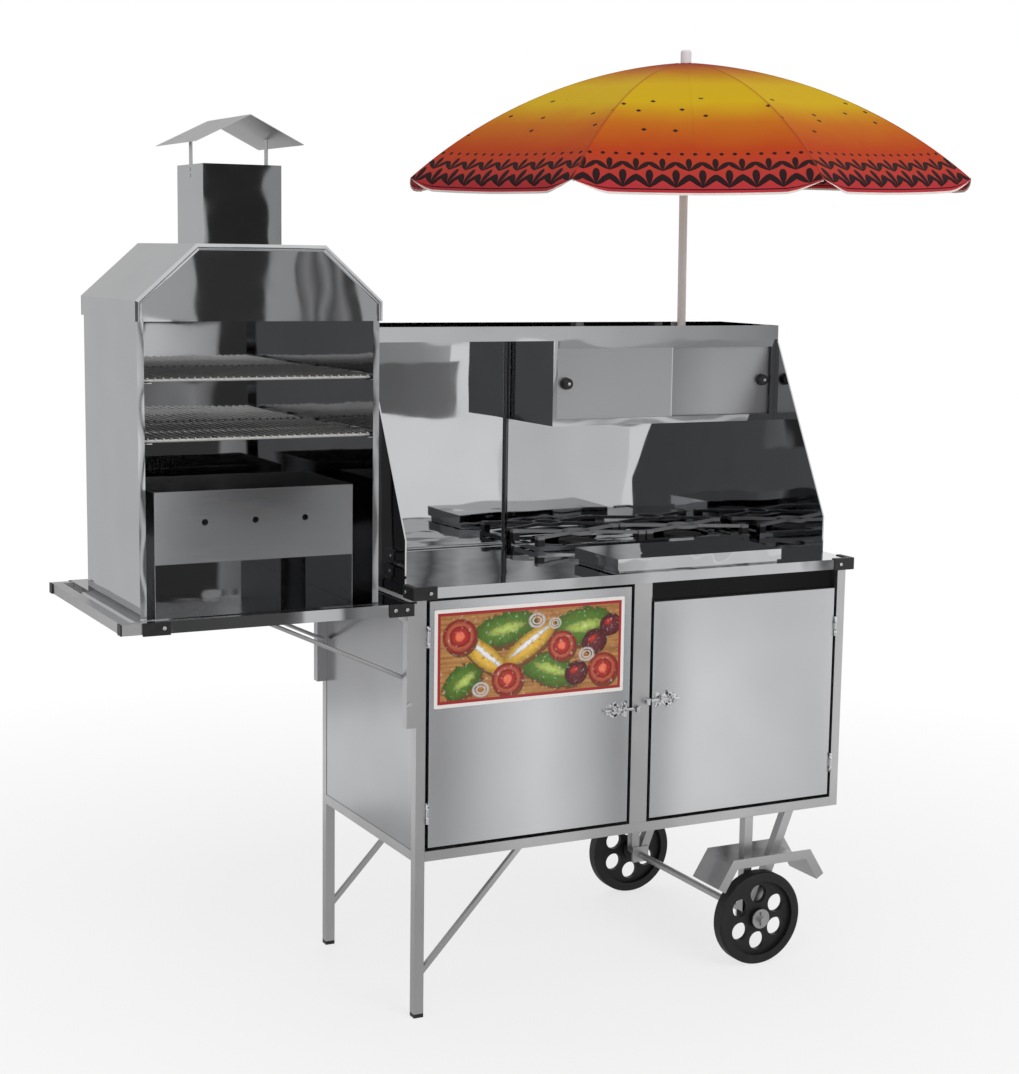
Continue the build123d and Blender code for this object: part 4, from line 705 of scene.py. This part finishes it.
class CART_OT_trim(bpy.types.Operator):
    """Add the rolled hem on the hood's front and the bead where the back panel meets the worktop"""

    bl_idname = "cart.trim"
    bl_label = "Hem and bead"

    PROFILE_STEPS = 6
    BEAD_FROM_SIDE = 1 * MM
    # Radius of the bead's edges, as a share of its width
    BEAD_ROUNDING = 0.4

    def execute(self, context):
        sizes = settings("cart_trim")
        # Folded and rolled edge: mirror bright, with small dents from the folding bar.
        sheet = settings("cart_finish").sheet
        rolled = metal("rolled_stainless_edge", sheet, 0.08, 0.03, (6, 6, 6), 0.02, 40, 0.25)
        self.hem(sizes, rolled)
        self.bead(sizes, rolled)
        return {"FINISHED"}

    def hem(self, sizes, material):
        """A shallow roll that follows the hood's front edge from rim to rim."""
        low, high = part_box("grill_hood")
        shoulder, slope, hem = low.z + sizes.rim, sizes.slope, sizes.hem
        # Mitred corners: each inner corner lies on the bisector of its two edges
        pitch = atan2(high.z - shoulder, slope)
        steep, lean = hem * tan(pitch / 2), hem * tan((pi / 2 - pitch) / 2)
        # Outer and inner corners of the left half, as distances from the hood's side and heights
        left_half = (
            ((0, low.z), (hem, low.z)),
            ((0, shoulder), (hem, shoulder - lean)),
            ((slope, high.z), (slope + steep, high.z - hem)),
        )
        corners = [[Vector((low.x + x, z)) for x, z in pair] for pair in left_half]
        corners += [[Vector((high.x - x, z)) for x, z in pair] for pair in reversed(left_half)]
        last = len(corners) - 1
        builder = grid(last, self.PROFILE_STEPS)
        places = {}
        for vertex in builder.verts:
            places[vertex] = round((vertex.co.x + 1) / 2 * last)
            share = (vertex.co.y + 1) / 2
            outer, inner = corners[places[vertex]]
            across = outer.lerp(inner, share)
            vertex.co = (across.x, low.y - sizes.roll * sin(pi * share), across.y)
        smooth_faces(builder)
        for edge in builder.edges:
            edge.smooth = places[edge.verts[0]] != places[edge.verts[1]] and not edge.is_boundary
        face_outward(builder)
        bmesh.ops.solidify(builder, geom=builder.faces[:], thickness=sizes.wall)
        new_piece(builder, "hood_hem_roll", "grill", material)

    def bead(self, sizes, material):
        """A narrow bead at the foot of the back panel, from the left side to the seam."""
        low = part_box("surround_back")[0]
        start, end = low.x + self.BEAD_FROM_SIDE, CORNER.x + sizes.seam
        front = CORNER.y + sizes.back - sizes.bead
        size = Matrix.Diagonal((end - start, sizes.bead, sizes.bead, 1))
        middle = Vector(((start + end) / 2, front + sizes.bead / 2, low.z + sizes.bead / 2))
        builder = bmesh.new()
        bmesh.ops.create_cube(builder, size=1.0, matrix=Matrix.Translation(middle) @ size)
        long = [edge for edge in builder.edges if abs(edge.verts[0].co.x - edge.verts[1].co.x) > sizes.bead]
        rounded(builder, long, sizes.bead * self.BEAD_ROUNDING)
        new_piece(builder, "splash_bead", "cart", material)


def picture(design):
    """Printed film: a generic still life of vegetables on a board, in a white border and a red line.

    The map's two values are the distances from the panel's lower left corner, in metres. Places and sizes in
    the picture are in millimetres.
    """
    material, tree, shader = new_material("printed_film", Roughness=0.28)
    calc = partial(sum_up, tree)
    spot = add_node(tree, "UVMap", uv_map="print")["UV"]
    split = axes(tree, spot)
    paper, dark = linear(design.paper), linear(design.board_dark)
    grain = noise(tree, spot, (120, 6, 6), 4.0)
    painted = band(tree, grain, 0.25, 0.75, [(0.0, dark), (1.0, linear(design.board))])
    ruffle = add_node(tree, "TexNoise", {"Scale": 1 / (9 * MM), "Detail": 3.0, "Vector": spot})["Color"]
    shaken = add_node(tree, "VectorMath", {0: ruffle, 1: (0.5, 0.5, 0.5)}, operation="SUBTRACT")["Vector"]

    def lay(share, colour):
        """Lay a colour on the picture."""
        nonlocal painted
        painted = blend_colour(tree, share, painted, colour)

    # The patches' edges are soft over this share of their radius
    soft = 0.07

    def patch(centre, size, turn, colour, ragged=0.0, ring=0.0):
        """Lay an ellipse of one colour on the picture, with a ragged edge or as a ring where asked."""
        inputs = {0: shaken, 1: (ragged * MM,) * 3, 2: spot}
        moved = add_node(tree, "VectorMath", inputs, operation="MULTIPLY_ADD")["Vector"]
        placing = {
            "Vector": moved,
            "Location": (centre[0] * MM, centre[1] * MM, 0),
            "Rotation": (0, 0, turn * pi / 180),
            "Scale": (size[0] * MM, size[1] * MM, 1),
        }
        local = add_node(tree, "Mapping", placing, vector_type="TEXTURE")["Vector"]
        far = add_node(tree, "VectorMath", {0: local}, operation="LENGTH")["Value"]
        share = ranged(tree, far, 1.0, 1.0 - soft)
        if ring:
            share = calc("MULTIPLY", share, ranged(tree, far, ring - soft, ring))
        # Bright in the middle, dark at the rim
        tones = [(0.0, toned(colour, 1.35, 0.02)), (0.6, colour), (1.0, toned(colour, 0.45))]
        lay(share, band(tree, far, 0.0, 1.0, tones))

    # Salad leaves behind, with pale middles
    leaf, leaf_pale = linear(design.leaf), linear(design.leaf_pale)
    for x, y, wide, tall, turn in (
        (150, 146, 74, 34, 12), (250, 58, 72, 32, -20), (322, 140, 74, 38, 8), (60, 50, 50, 30, 35),
    ):
        patch((x + 4, y - 6), (wide, tall), turn, dark, 26)
        patch((x, y), (wide, tall), turn, leaf, 26)
        patch((x + 5, y), (wide * 0.6, tall * 0.34), turn, leaf_pale, 14)
    # Corn cobs, each on its shadow and crossed by a paler row of grains
    for x, y, turn in ((108, 96, -38), (206, 112, 34)):
        patch((x + 4, y - 6), (72, 25), turn, dark)
        patch((x, y), (70, 23), turn, linear(design.corn), 5)
        patch((x, y + 5), (56, 6), turn, paper, 7)
    # Cut tomatoes: skin, flesh and a pale core
    tomato, flesh = linear(design.tomato), linear(design.flesh)
    for x, y, size in ((54, 138, 38), (158, 46, 36), (278, 104, 33), (372, 50, 36)):
        patch((x + 3, y - 4), (size, size), 0, dark)
        patch((x, y), (size, size * 0.94), 0, tomato)
        patch((x, y), (size * 0.82, size * 0.78), 0, flesh, 5)
        patch((x, y), (size * 0.62, size * 0.58), 0, tomato, 6, 0.45)
    # Beetroots and onion rings at the right
    for x, y, size in ((352, 106, 30), (388, 138, 26), (312, 46, 28)):
        patch((x, y), (size, size * 0.9), 20, linear(design.beet), 4)
        patch((x - 5, y + 6), (size * 0.4, size * 0.26), 30, tomato, 4)
    for x, y, size in ((222, 158, 20), (334, 82, 19), (100, 30, 20), (262, 150, 15)):
        patch((x, y), (size, size * 0.8), 0, linear(design.onion), 2, 0.72)
        patch((x, y), (size * 0.6, size * 0.46), 0, linear(design.onion), 2, 0.66)
    # Crumbs and soft shadows over the whole board
    crumbs = noise(tree, spot, 9, 5.0)
    lay(ranged(tree, crumbs, 0.55, 0.75, 0.0, 0.8), dark)
    lay(ranged(tree, crumbs, 0.4, 0.25, 0.0, 0.55), paper)
    # Red line and white border, by the distance from the nearest edge
    sideways = calc("MINIMUM", split["X"], calc("SUBTRACT", design.length, split["X"]))
    upward = calc("MINIMUM", split["Y"], calc("SUBTRACT", design.height, split["Y"]))
    inward = calc("MINIMUM", sideways, upward)
    lay(calc("LESS_THAN", inward, design.border + design.line), linear(design.frame_red))
    lay(calc("LESS_THAN", inward, design.border), paper)
    tree.links.new(painted, shader["Base Color"])
    tree.links.new(bumped(tree, noise(tree, spot, 40, 1.0), depth_mm=0.05), shader["Normal"])
    return material


class CART_OT_door_print(bpy.types.Operator):
    """Stick the printed panel on the left door"""

    bl_idname = "cart.door_print"
    bl_label = "Door print"

    CORNER_RADIUS = 3 * MM
    FILM = 0.4 * MM

    def execute(self, context):
        design = settings("door_print")
        corner = Vector((CORNER.x + design.left, CORNER.y, design.bottom))
        middle = corner + Vector((design.length / 2, 0, design.height / 2))
        builder = rectangle(middle, design.length, design.height)
        rounded(builder, builder.verts[:], self.CORNER_RADIUS, 4, "VERTICES")
        film = bmesh.ops.extrude_face_region(builder, geom=builder.faces[:])["geom"]
        lifted = [part for part in film if isinstance(part, bmesh.types.BMVert)]
        bmesh.ops.translate(builder, verts=lifted, vec=(0, -self.FILM, 0))
        layer = builder.loops.layers.uv.new("print")
        for face in builder.faces:
            for loop in face.loops:
                loop[layer].uv = (loop.vert.co.x - corner.x, loop.vert.co.z - corner.z)
        new_piece(builder, "door_panel_print", "left_door", picture(design))
        return {"FINISHED"}


# Each gore of the parasol has its own stretch of print, this far from the next
GORE_STEP = 2.0


def printed_cloth(cloth, gore_length):
    """Printed polyester: a soft colour run from crown to hem with a dark border of leaves.

    The map's first value runs across a gore, its second is the distance from the crown, in metres; a second
    map holds the distance from the rib.
    """
    material, tree, shader = new_material("printed_polyester", Roughness=0.75, Specular_IOR_Level=0.1)
    calc = partial(sum_up, tree)
    spot = add_node(tree, "UVMap", uv_map="cloth")["UV"]
    split = axes(tree, spot)
    across, along = split["X"], split["Y"]
    height = calc("SUBTRACT", gore_length, along)
    run = (
        (0.0, cloth.crown), (0.1, cloth.crown), (0.24, cloth.amber), (0.40, cloth.yellow),
        (0.54, cloth.yellow), (0.68, cloth.orange), (0.82, cloth.red), (1.0, cloth.hem_red),
    )
    wander = ranged(tree, noise(tree, spot, 110, 2.0), 0.0, 1.0, -0.02, 0.02)
    steps = [(place, linear(colour)) for place, colour in run]
    painted = band(tree, calc("ADD", along, wander), 0.0, gore_length, steps)

    def lay(share, colour):
        """Lay a colour on the cloth."""
        nonlocal painted
        painted = blend_colour(tree, share, painted, linear(colour))

    def in_row(pitch, foot, stagger=0.0):
        """Places beside and above a motif's foot, in a row of them, and the distance from it."""
        strip = calc("ADD", calc("DIVIDE", across, pitch * MM), stagger)
        beside = calc("MULTIPLY", calc("SUBTRACT", calc("FRACT", strip), 0.5), pitch * MM)
        above = calc("SUBTRACT", height, foot * MM)
        square = calc("MULTIPLY_ADD", beside, beside, calc("MULTIPLY", above, above))
        return beside, above, calc("SQRT", square)

    # Block-printed border: two staggered rows of three-lobed leaves, each in its own square of cloth
    lobe_turn, lobe_power = pi / 4, 0.7
    for pitch, foot, lobe, stagger in ((52, 14, 46, 0.0), (52, 56, 38, 0.5)):
        beside, above, far = in_row(pitch, foot, stagger)
        swing = calc("ARCTAN2", beside, above)
        lobed = calc("ABSOLUTE", calc("COSINE", calc("MULTIPLY", swing, pi / lobe_turn)))
        edge = calc("MULTIPLY", calc("POWER", lobed, lobe_power), lobe * MM)
        upward = calc("LESS_THAN", calc("ABSOLUTE", swing), 1.5 * lobe_turn)
        lay(calc("MULTIPLY", calc("LESS_THAN", far, edge), upward), cloth.ink)
    # A line of dots over the leaves and a plain line under them
    dot_pitch, dot_height, dot_radius = 26, 108, 4.5 * MM
    far = in_row(dot_pitch, dot_height)[2]
    lay(calc("LESS_THAN", far, dot_radius), cloth.ink)
    line_height, line_half = 11 * MM, 1.2 * MM
    lay(calc("LESS_THAN", calc("ABSOLUTE", calc("SUBTRACT", height, line_height)), line_half), cloth.ink)
    # Small lozenges strewn above the border
    strewn_from, strewn_to, strewn_share, strewn_pitch, strewn_size = 0.17, 0.33, 0.55, 62 * MM, 0.1
    fleck = add_node(
        tree, "TexVoronoi", {"Scale": 1 / strewn_pitch, "Vector": spot},
        voronoi_dimensions="2D", distance="MANHATTAN",
    )
    small = calc("LESS_THAN", fleck["Distance"], strewn_size)
    lot = add_node(tree, "SeparateColor", {"Color": fleck["Color"]})[0]
    chosen = calc("MULTIPLY", small, calc("GREATER_THAN", lot, 1 - strewn_share))
    level = calc("MULTIPLY", calc("GREATER_THAN", height, strewn_from), calc("LESS_THAN", height, strewn_to))
    lay(calc("MULTIPLY", level, chosen), cloth.ink)
    # White tape along the hem's edge, and a stitched seam over each rib
    tape = 4.5 * MM
    lay(calc("LESS_THAN", height, tape), cloth.binding)
    near_rib = axes(tree, add_node(tree, "UVMap", uv_map="seam")["UV"])["X"]
    lay(ranged(tree, near_rib, 1.0 * MM, 4 * MM, 0.5, 0.0), cloth.crown)
    tree.links.new(painted, shader["Base Color"])
    # Plain weave drawn at 1.6 mm, coarser than the real thread so that it shows
    thread = 2 * pi / (1.6 * MM)
    weave = [calc("SINE", calc("MULTIPLY", axis, thread)) for axis in (across, along)]
    normal = bumped(tree, calc("MULTIPLY", *weave), depth_mm=0.1, strength=0.25)
    # Slack folds down the cloth, puckers beside the seam at the rib and a crease down each gore's middle
    slack = noise(tree, spot, (60, 200, 60), 2.0)
    normal = bumped(tree, slack, depth_mm=2.0, strength=0.5, normal=normal)
    by_rib = ranged(tree, near_rib, 0.0, 50 * MM, 1.0, 0.0)
    puckers = calc("MULTIPLY", noise(tree, spot, (90, 14, 14), 1.0), by_rib)
    normal = bumped(tree, puckers, depth_mm=3.0, strength=0.7, normal=normal)
    from_middle = calc("ABSOLUTE", calc("WRAP", across, GORE_STEP / 2, -GORE_STEP / 2))
    crease = ranged(tree, from_middle, 0.0, 6 * MM, 1.0, 0.0)
    normal = bumped(tree, crease, depth_mm=0.8, normal=normal)
    tree.links.new(normal, shader["Normal"])
    return material


class CART_OT_parasol(bpy.types.Operator):
    """Make the parasol's cloth as sectors that follow the ribs, with a cap over the crown"""

    bl_idname = "cart.parasol"
    bl_label = "Parasol cloth"

    ROWS = 30
    HALF_COLUMNS = 12
    HEM_ROWS = 5
    # The sectors start under the cap, at this share of its radius
    FIRST_ROW = 0.5
    # Columns crowd towards the rib, where the sewn seam stands up over this half width
    CROWDING = 1.8
    SEAM_HALF = 5 * MM
    # The hem flutters in and out by so much, with so many radians to a metre
    FLUTTER = 0.004
    FLUTTER_RATE = 46
    CAP_SIDES = 48
    CAP_RINGS = 6
    # The cap lies this far above the cloth in its middle, less by this share at its edge
    CAP_LIFT, CAP_TAPER = 1.5 * MM, 0.5

    def execute(self, context):
        cloth = settings("parasol_cloth")
        self.half = pi / RIBS
        self.apothem = cloth.radius * cos(self.half)
        # The gore's middle line is an arc through the top, a point half way out and the rim
        mid = self.apothem / 2
        self.arch_rise = (2 * mid**2 + cloth.rise**2 - 2 * cloth.sink**2) / (cloth.rise - 2 * cloth.sink)
        self.arch_out = (mid**2 + cloth.sink**2 - self.arch_rise * cloth.sink) / mid
        self.arch_radius = hypot(self.arch_rise, self.arch_out) / 2
        gore_length = self.length(self.apothem) + cloth.hem
        material = printed_cloth(cloth, gore_length)
        for n in range(RIBS):
            turn = FIRST_RIB + n * 2 * self.half
            piece, area = self.sector(cloth, n, turn, material)
            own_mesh(piece)
            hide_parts("canopy")
        self.cap(cloth, material)
        return {"FINISHED"}

    def height(self, cloth, out):
        """Height of the cloth over a gore's middle line."""
        across = out - self.arch_out / 2
        return cloth.top - self.arch_rise / 2 + sqrt(self.arch_radius**2 - across**2)

    def length(self, out):
        """Length along the cloth from the crown."""
        middle = self.arch_out / 2
        return self.arch_radius * (asin((out - middle) / self.arch_radius) + asin(middle / self.arch_radius))

    def sector(self, cloth, number, turn, material):
        """One sector of cloth: the two half gores beside a rib, down to the hem."""
        first = cloth.cap * self.FIRST_ROW
        rows = self.ROWS + self.HEM_ROWS
        builder = grid(2 * self.HALF_COLUMNS, rows)
        print_map = builder.loops.layers.uv.new("cloth")
        seam_map = builder.loops.layers.uv.new("seam")
        across_left = {face: face.calc_center_median().x < 0 for face in builder.faces}
        maps = {}
        for vertex in builder.verts:
            side = copysign(abs(vertex.co.x) ** self.CROWDING, vertex.co.x)
            row = (vertex.co.y + 1) / 2 * rows
            share = min(1.0, row / self.ROWS)
            below = max(0.0, row - self.ROWS) / self.HEM_ROWS
            out = first + (self.apothem - first) * share
            gore = turn + (self.half if side >= 0 else -self.half)
            off = out * tan(self.half) * (1 - abs(side)) * (-1 if side >= 0 else 1)
            from_rib = out * tan(self.half) * abs(side)
            sink = cloth.sag * (1 - (1 - abs(side)) ** 2) * share * share
            sink -= cloth.seam * max(0.0, 1 - from_rib / self.SEAM_HALF)
            drop = below * cloth.hem * min(1.0, from_rib / cloth.notch)
            reach = out + below * self.FLUTTER * sin(from_rib * self.FLUTTER_RATE)
            vertex.co = leaned(
                reach * cos(gore) - off * sin(gore),
                reach * sin(gore) + off * cos(gore),
                self.height(cloth, out) - sink - drop,
            )
            maps[vertex] = (abs(off), from_rib, self.length(out) + below * cloth.hem)
        for edge in builder.edges:
            edge.smooth = not edge.is_boundary
        smooth_faces(builder)
        for face in builder.faces:
            # The print is counted from the gore's middle line
            gore = (number - 1 if across_left[face] else number) % RIBS
            for loop in face.loops:
                from_middle, from_rib, along = maps[loop.vert]
                across = from_middle if across_left[face] else -from_middle
                loop[print_map].uv = (GORE_STEP * gore + across, along)
                loop[seam_map].uv = (from_rib, along)
        area = sum(face.calc_area() for face in builder.faces)
        name = f"canopy_sector_{number + 1}"
        piece = new_piece(builder, name, f"rib_{number + 1}", material)
        self.thicken(cloth, piece)
        return piece, area

    def cap(self, cloth, material):
        """The small cap sewn over the crown: a disc of rings, shaped like the cloth below it."""
        builder = bmesh.new()
        bmesh.ops.create_circle(builder, cap_ends=True, segments=self.CAP_SIDES, radius=cloth.cap)
        disc = builder.faces[:]
        for ring in range(self.CAP_RINGS):
            bmesh.ops.inset_region(builder, faces=disc, thickness=cloth.cap / (self.CAP_RINGS + 1))
        print_map = builder.loops.layers.uv.new("cloth")
        seam_map = builder.loops.layers.uv.new("seam")
        smooth_faces(builder)
        for face in builder.faces:
            for loop in face.loops:
                along = self.length(hypot(loop.vert.co.x, loop.vert.co.y))
                loop[print_map].uv = (0.0, along)
                loop[seam_map].uv = (cloth.cap, along)
        for vertex in builder.verts:
            out = hypot(vertex.co.x, vertex.co.y)
            lift = self.CAP_LIFT * (1 - self.CAP_TAPER * out / cloth.cap)
            vertex.co = leaned(vertex.co.x, vertex.co.y, self.height(cloth, out) + lift)
        piece = new_piece(builder, "canopy_cap", "upper_pole", material)
        self.thicken(cloth, piece)

    def thicken(self, cloth, piece):
        """Give a sheet its thickness, inward."""
        wall = piece.modifiers.new("wall", "SOLIDIFY")
        wall.thickness = cloth.wall
        wall.offset = -1.0


class CART_OT_stage(bpy.types.Operator):
    """Set up the camera, the floor and a plain soft studio"""

    bl_idname = "cart.stage"
    bl_label = "Stage"

    WHITE = (1, 1, 1, 1)
    # Name, place, size and share of the main lamp's power; all of them point at one place
    LAMPS = (
        ("key", (0.6, -4.2, 3.3), 2.4, 1.0),
        ("fill", (-3.2, -2.8, 2.6), 2.6, 0.25),
        ("rim", (1.2, 3.2, 3.4), 2.6, 0.4),
    )
    LAMPS_AIM = Vector((0, 0, 0.9))
    FLOOR_SIZE = 60.0
    SENSOR_MM, FARTHEST = 36.0, 100.0
    # From here to there the floor fades from this share of white to plain white
    FADE_FROM, FADE_TO, FADE_SHARE = 0.7, 2.6, 0.72

    def execute(self, context):
        stage = settings("studio_stage")
        scene = context.scene
        scene.view_settings.view_transform = "Standard"
        data = bpy.data.cameras.new("camera")
        data.sensor_fit = "AUTO"
        data.sensor_width = self.SENSOR_MM
        data.lens = stage.lens
        data.clip_end = self.FARTHEST
        camera = in_scene("camera", data)
        ahead = Vector(stage.ahead).normalized()
        right = ahead.cross(Vector(stage.upward)).normalized()
        turn = Matrix((right, right.cross(ahead), -ahead)).transposed().to_4x4()
        camera.matrix_world = Matrix.Translation(stage.eye) @ turn
        scene.camera = camera
        self.world(stage, scene)
        self.floor(stage)
        self.cards()
        for name, place, size, share in self.LAMPS:
            self.lamp(name, Vector(place), size, stage.lamps * share)
        return {"FINISHED"}

    def seen(self, tree):
        """1 for what the camera, a reflection or a clear material sees, 0 for light on a surface."""
        path = add_node(tree, "LightPath")
        either = sum_up(tree, "MAXIMUM", path["Is Camera Ray"], path["Is Glossy Ray"])
        return sum_up(tree, "MAXIMUM", either, path["Is Transmission Ray"])

    def world(self, stage, scene):
        """White for the camera and for reflections, soft grey for the light on the object."""
        scene.world = bpy.data.worlds.new("studio")
        tree = emptied(scene.world)
        strength = ranged(tree, self.seen(tree), 0.0, 1.0, stage.sky, 1.0)
        light = add_node(tree, "Background", {"Color": self.WHITE, "Strength": strength})
        add_node(tree, "OutputWorld", {"Surface": light["Background"]})

    def floor(self, stage):
        """A pale floor that fades to white away from the cart and keeps the soft shadow under it."""
        material, tree, shader = new_material("pale_floor", Roughness=0.9, Specular_IOR_Level=0.0)
        shader["Base Color"].default_value = linear(stage.floor)
        far = add_node(tree, "VectorMath", {0: object_place(tree)}, operation="LENGTH")["Value"]
        faded = ranged(tree, far, self.FADE_FROM, self.FADE_TO, self.FADE_SHARE, 1.0)
        share = sum_up(tree, "MULTIPLY", self.seen(tree), faded)
        glow = add_node(tree, "Emission", {"Color": self.WHITE, "Strength": 1.0})["Emission"]
        output = tree.nodes["Material Output"].inputs["Surface"]
        matt = output.links[0].from_socket
        tree.links.new(add_node(tree, "MixShader", {0: share, 1: matt, 2: glow})["Shader"], output)
        shape = rectangle((0, 0, 0), self.FLOOR_SIZE, self.FLOOR_SIZE, flat=True)
        new_object(shape, "floor", material)

    def cards(self):
        """Dark and grey cards that only reflections see: they give polished sheet its dark areas."""
        for short_name, x, y, z, levels in CARDS:
            name = f"card_{short_name}"
            material = bpy.data.materials.new(name)
            tree = emptied(material)
            sideways = axes(tree, object_place(tree))["X"]
            steps = [(share, (level, level, level, 1.0)) for share, level in levels]
            tone = band(tree, sideways, CORNER.x + x[0], CORNER.x + x[1], steps)
            glow = add_node(tree, "Emission", {"Color": tone})["Emission"]
            add_node(tree, "OutputMaterial", {"Surface": glow})
            flat = isinstance(y, tuple)
            tall = y if flat else z
            middle_y, middle_z = (sum(y) / 2, z) if flat else (y, sum(z) / 2)
            centre = Vector((CORNER.x + sum(x) / 2, CORNER.y + middle_y, middle_z))
            shape = rectangle(centre, x[1] - x[0], tall[1] - tall[0], flat)
            card = new_object(shape, name, material)
            card.visible_camera = False
            card.visible_diffuse = False
            card.visible_transmission = False
            card.visible_shadow = False

    def lamp(self, name, place, size, power):
        """A soft square lamp that points at the cart."""
        data = bpy.data.lights.new(name, "AREA")
        data.size = size
        data.energy = power
        lamp = in_scene(name, data)
        lamp.location = place
        lamp.rotation_euler = (self.LAMPS_AIM - place).to_track_quat("-Z", "Y").to_euler()
        lamp.visible_glossy = False


class CART_PT_panel(bpy.types.Panel):
    """Buttons that make the cart's looks"""

    bl_idname = "CART_PT_panel"
    bl_label = "Hot dog cart"
    bl_space_type = "VIEW_3D"
    bl_region_type = "UI"
    bl_category = "Cart"

    def draw(self, context):
        for operator in OPERATORS:
            self.layout.operator(operator.bl_idname)


GROUPS = {
    "cart_finish": CartFinish,
    "parasol_cloth": ParasolCloth,
    "door_print": DoorPrint,
    "cart_fixings": Fixings,
    "cart_trim": Trim,
    "studio_stage": StudioStage,
}
OPERATORS = (
    CART_OT_steel,
    CART_OT_dark_parts,
    CART_OT_fixings,
    CART_OT_trim,
    CART_OT_door_print,
    CART_OT_parasol,
    CART_OT_stage,
)


def register():
    """Register the classes and hang the property groups on the scene."""
    for cls in (*GROUPS.values(), *OPERATORS, CART_PT_panel):
        bpy.utils.register_class(cls)
    for name, group in GROUPS.items():
        setattr(bpy.types.Scene, name, PointerProperty(type=group))


def unregister():
    """Undo what register did."""
    for name in GROUPS:
        delattr(bpy.types.Scene, name)
    for cls in reversed((*GROUPS.values(), *OPERATORS, CART_PT_panel)):
        bpy.utils.unregister_class(cls)


def main():
    """Make every piece in order."""
    register()
    for operator in OPERATORS:
        group, action = operator.bl_idname.split(".")
        getattr(getattr(bpy.ops, group), action)()


if __name__ == "__main__":
    main()
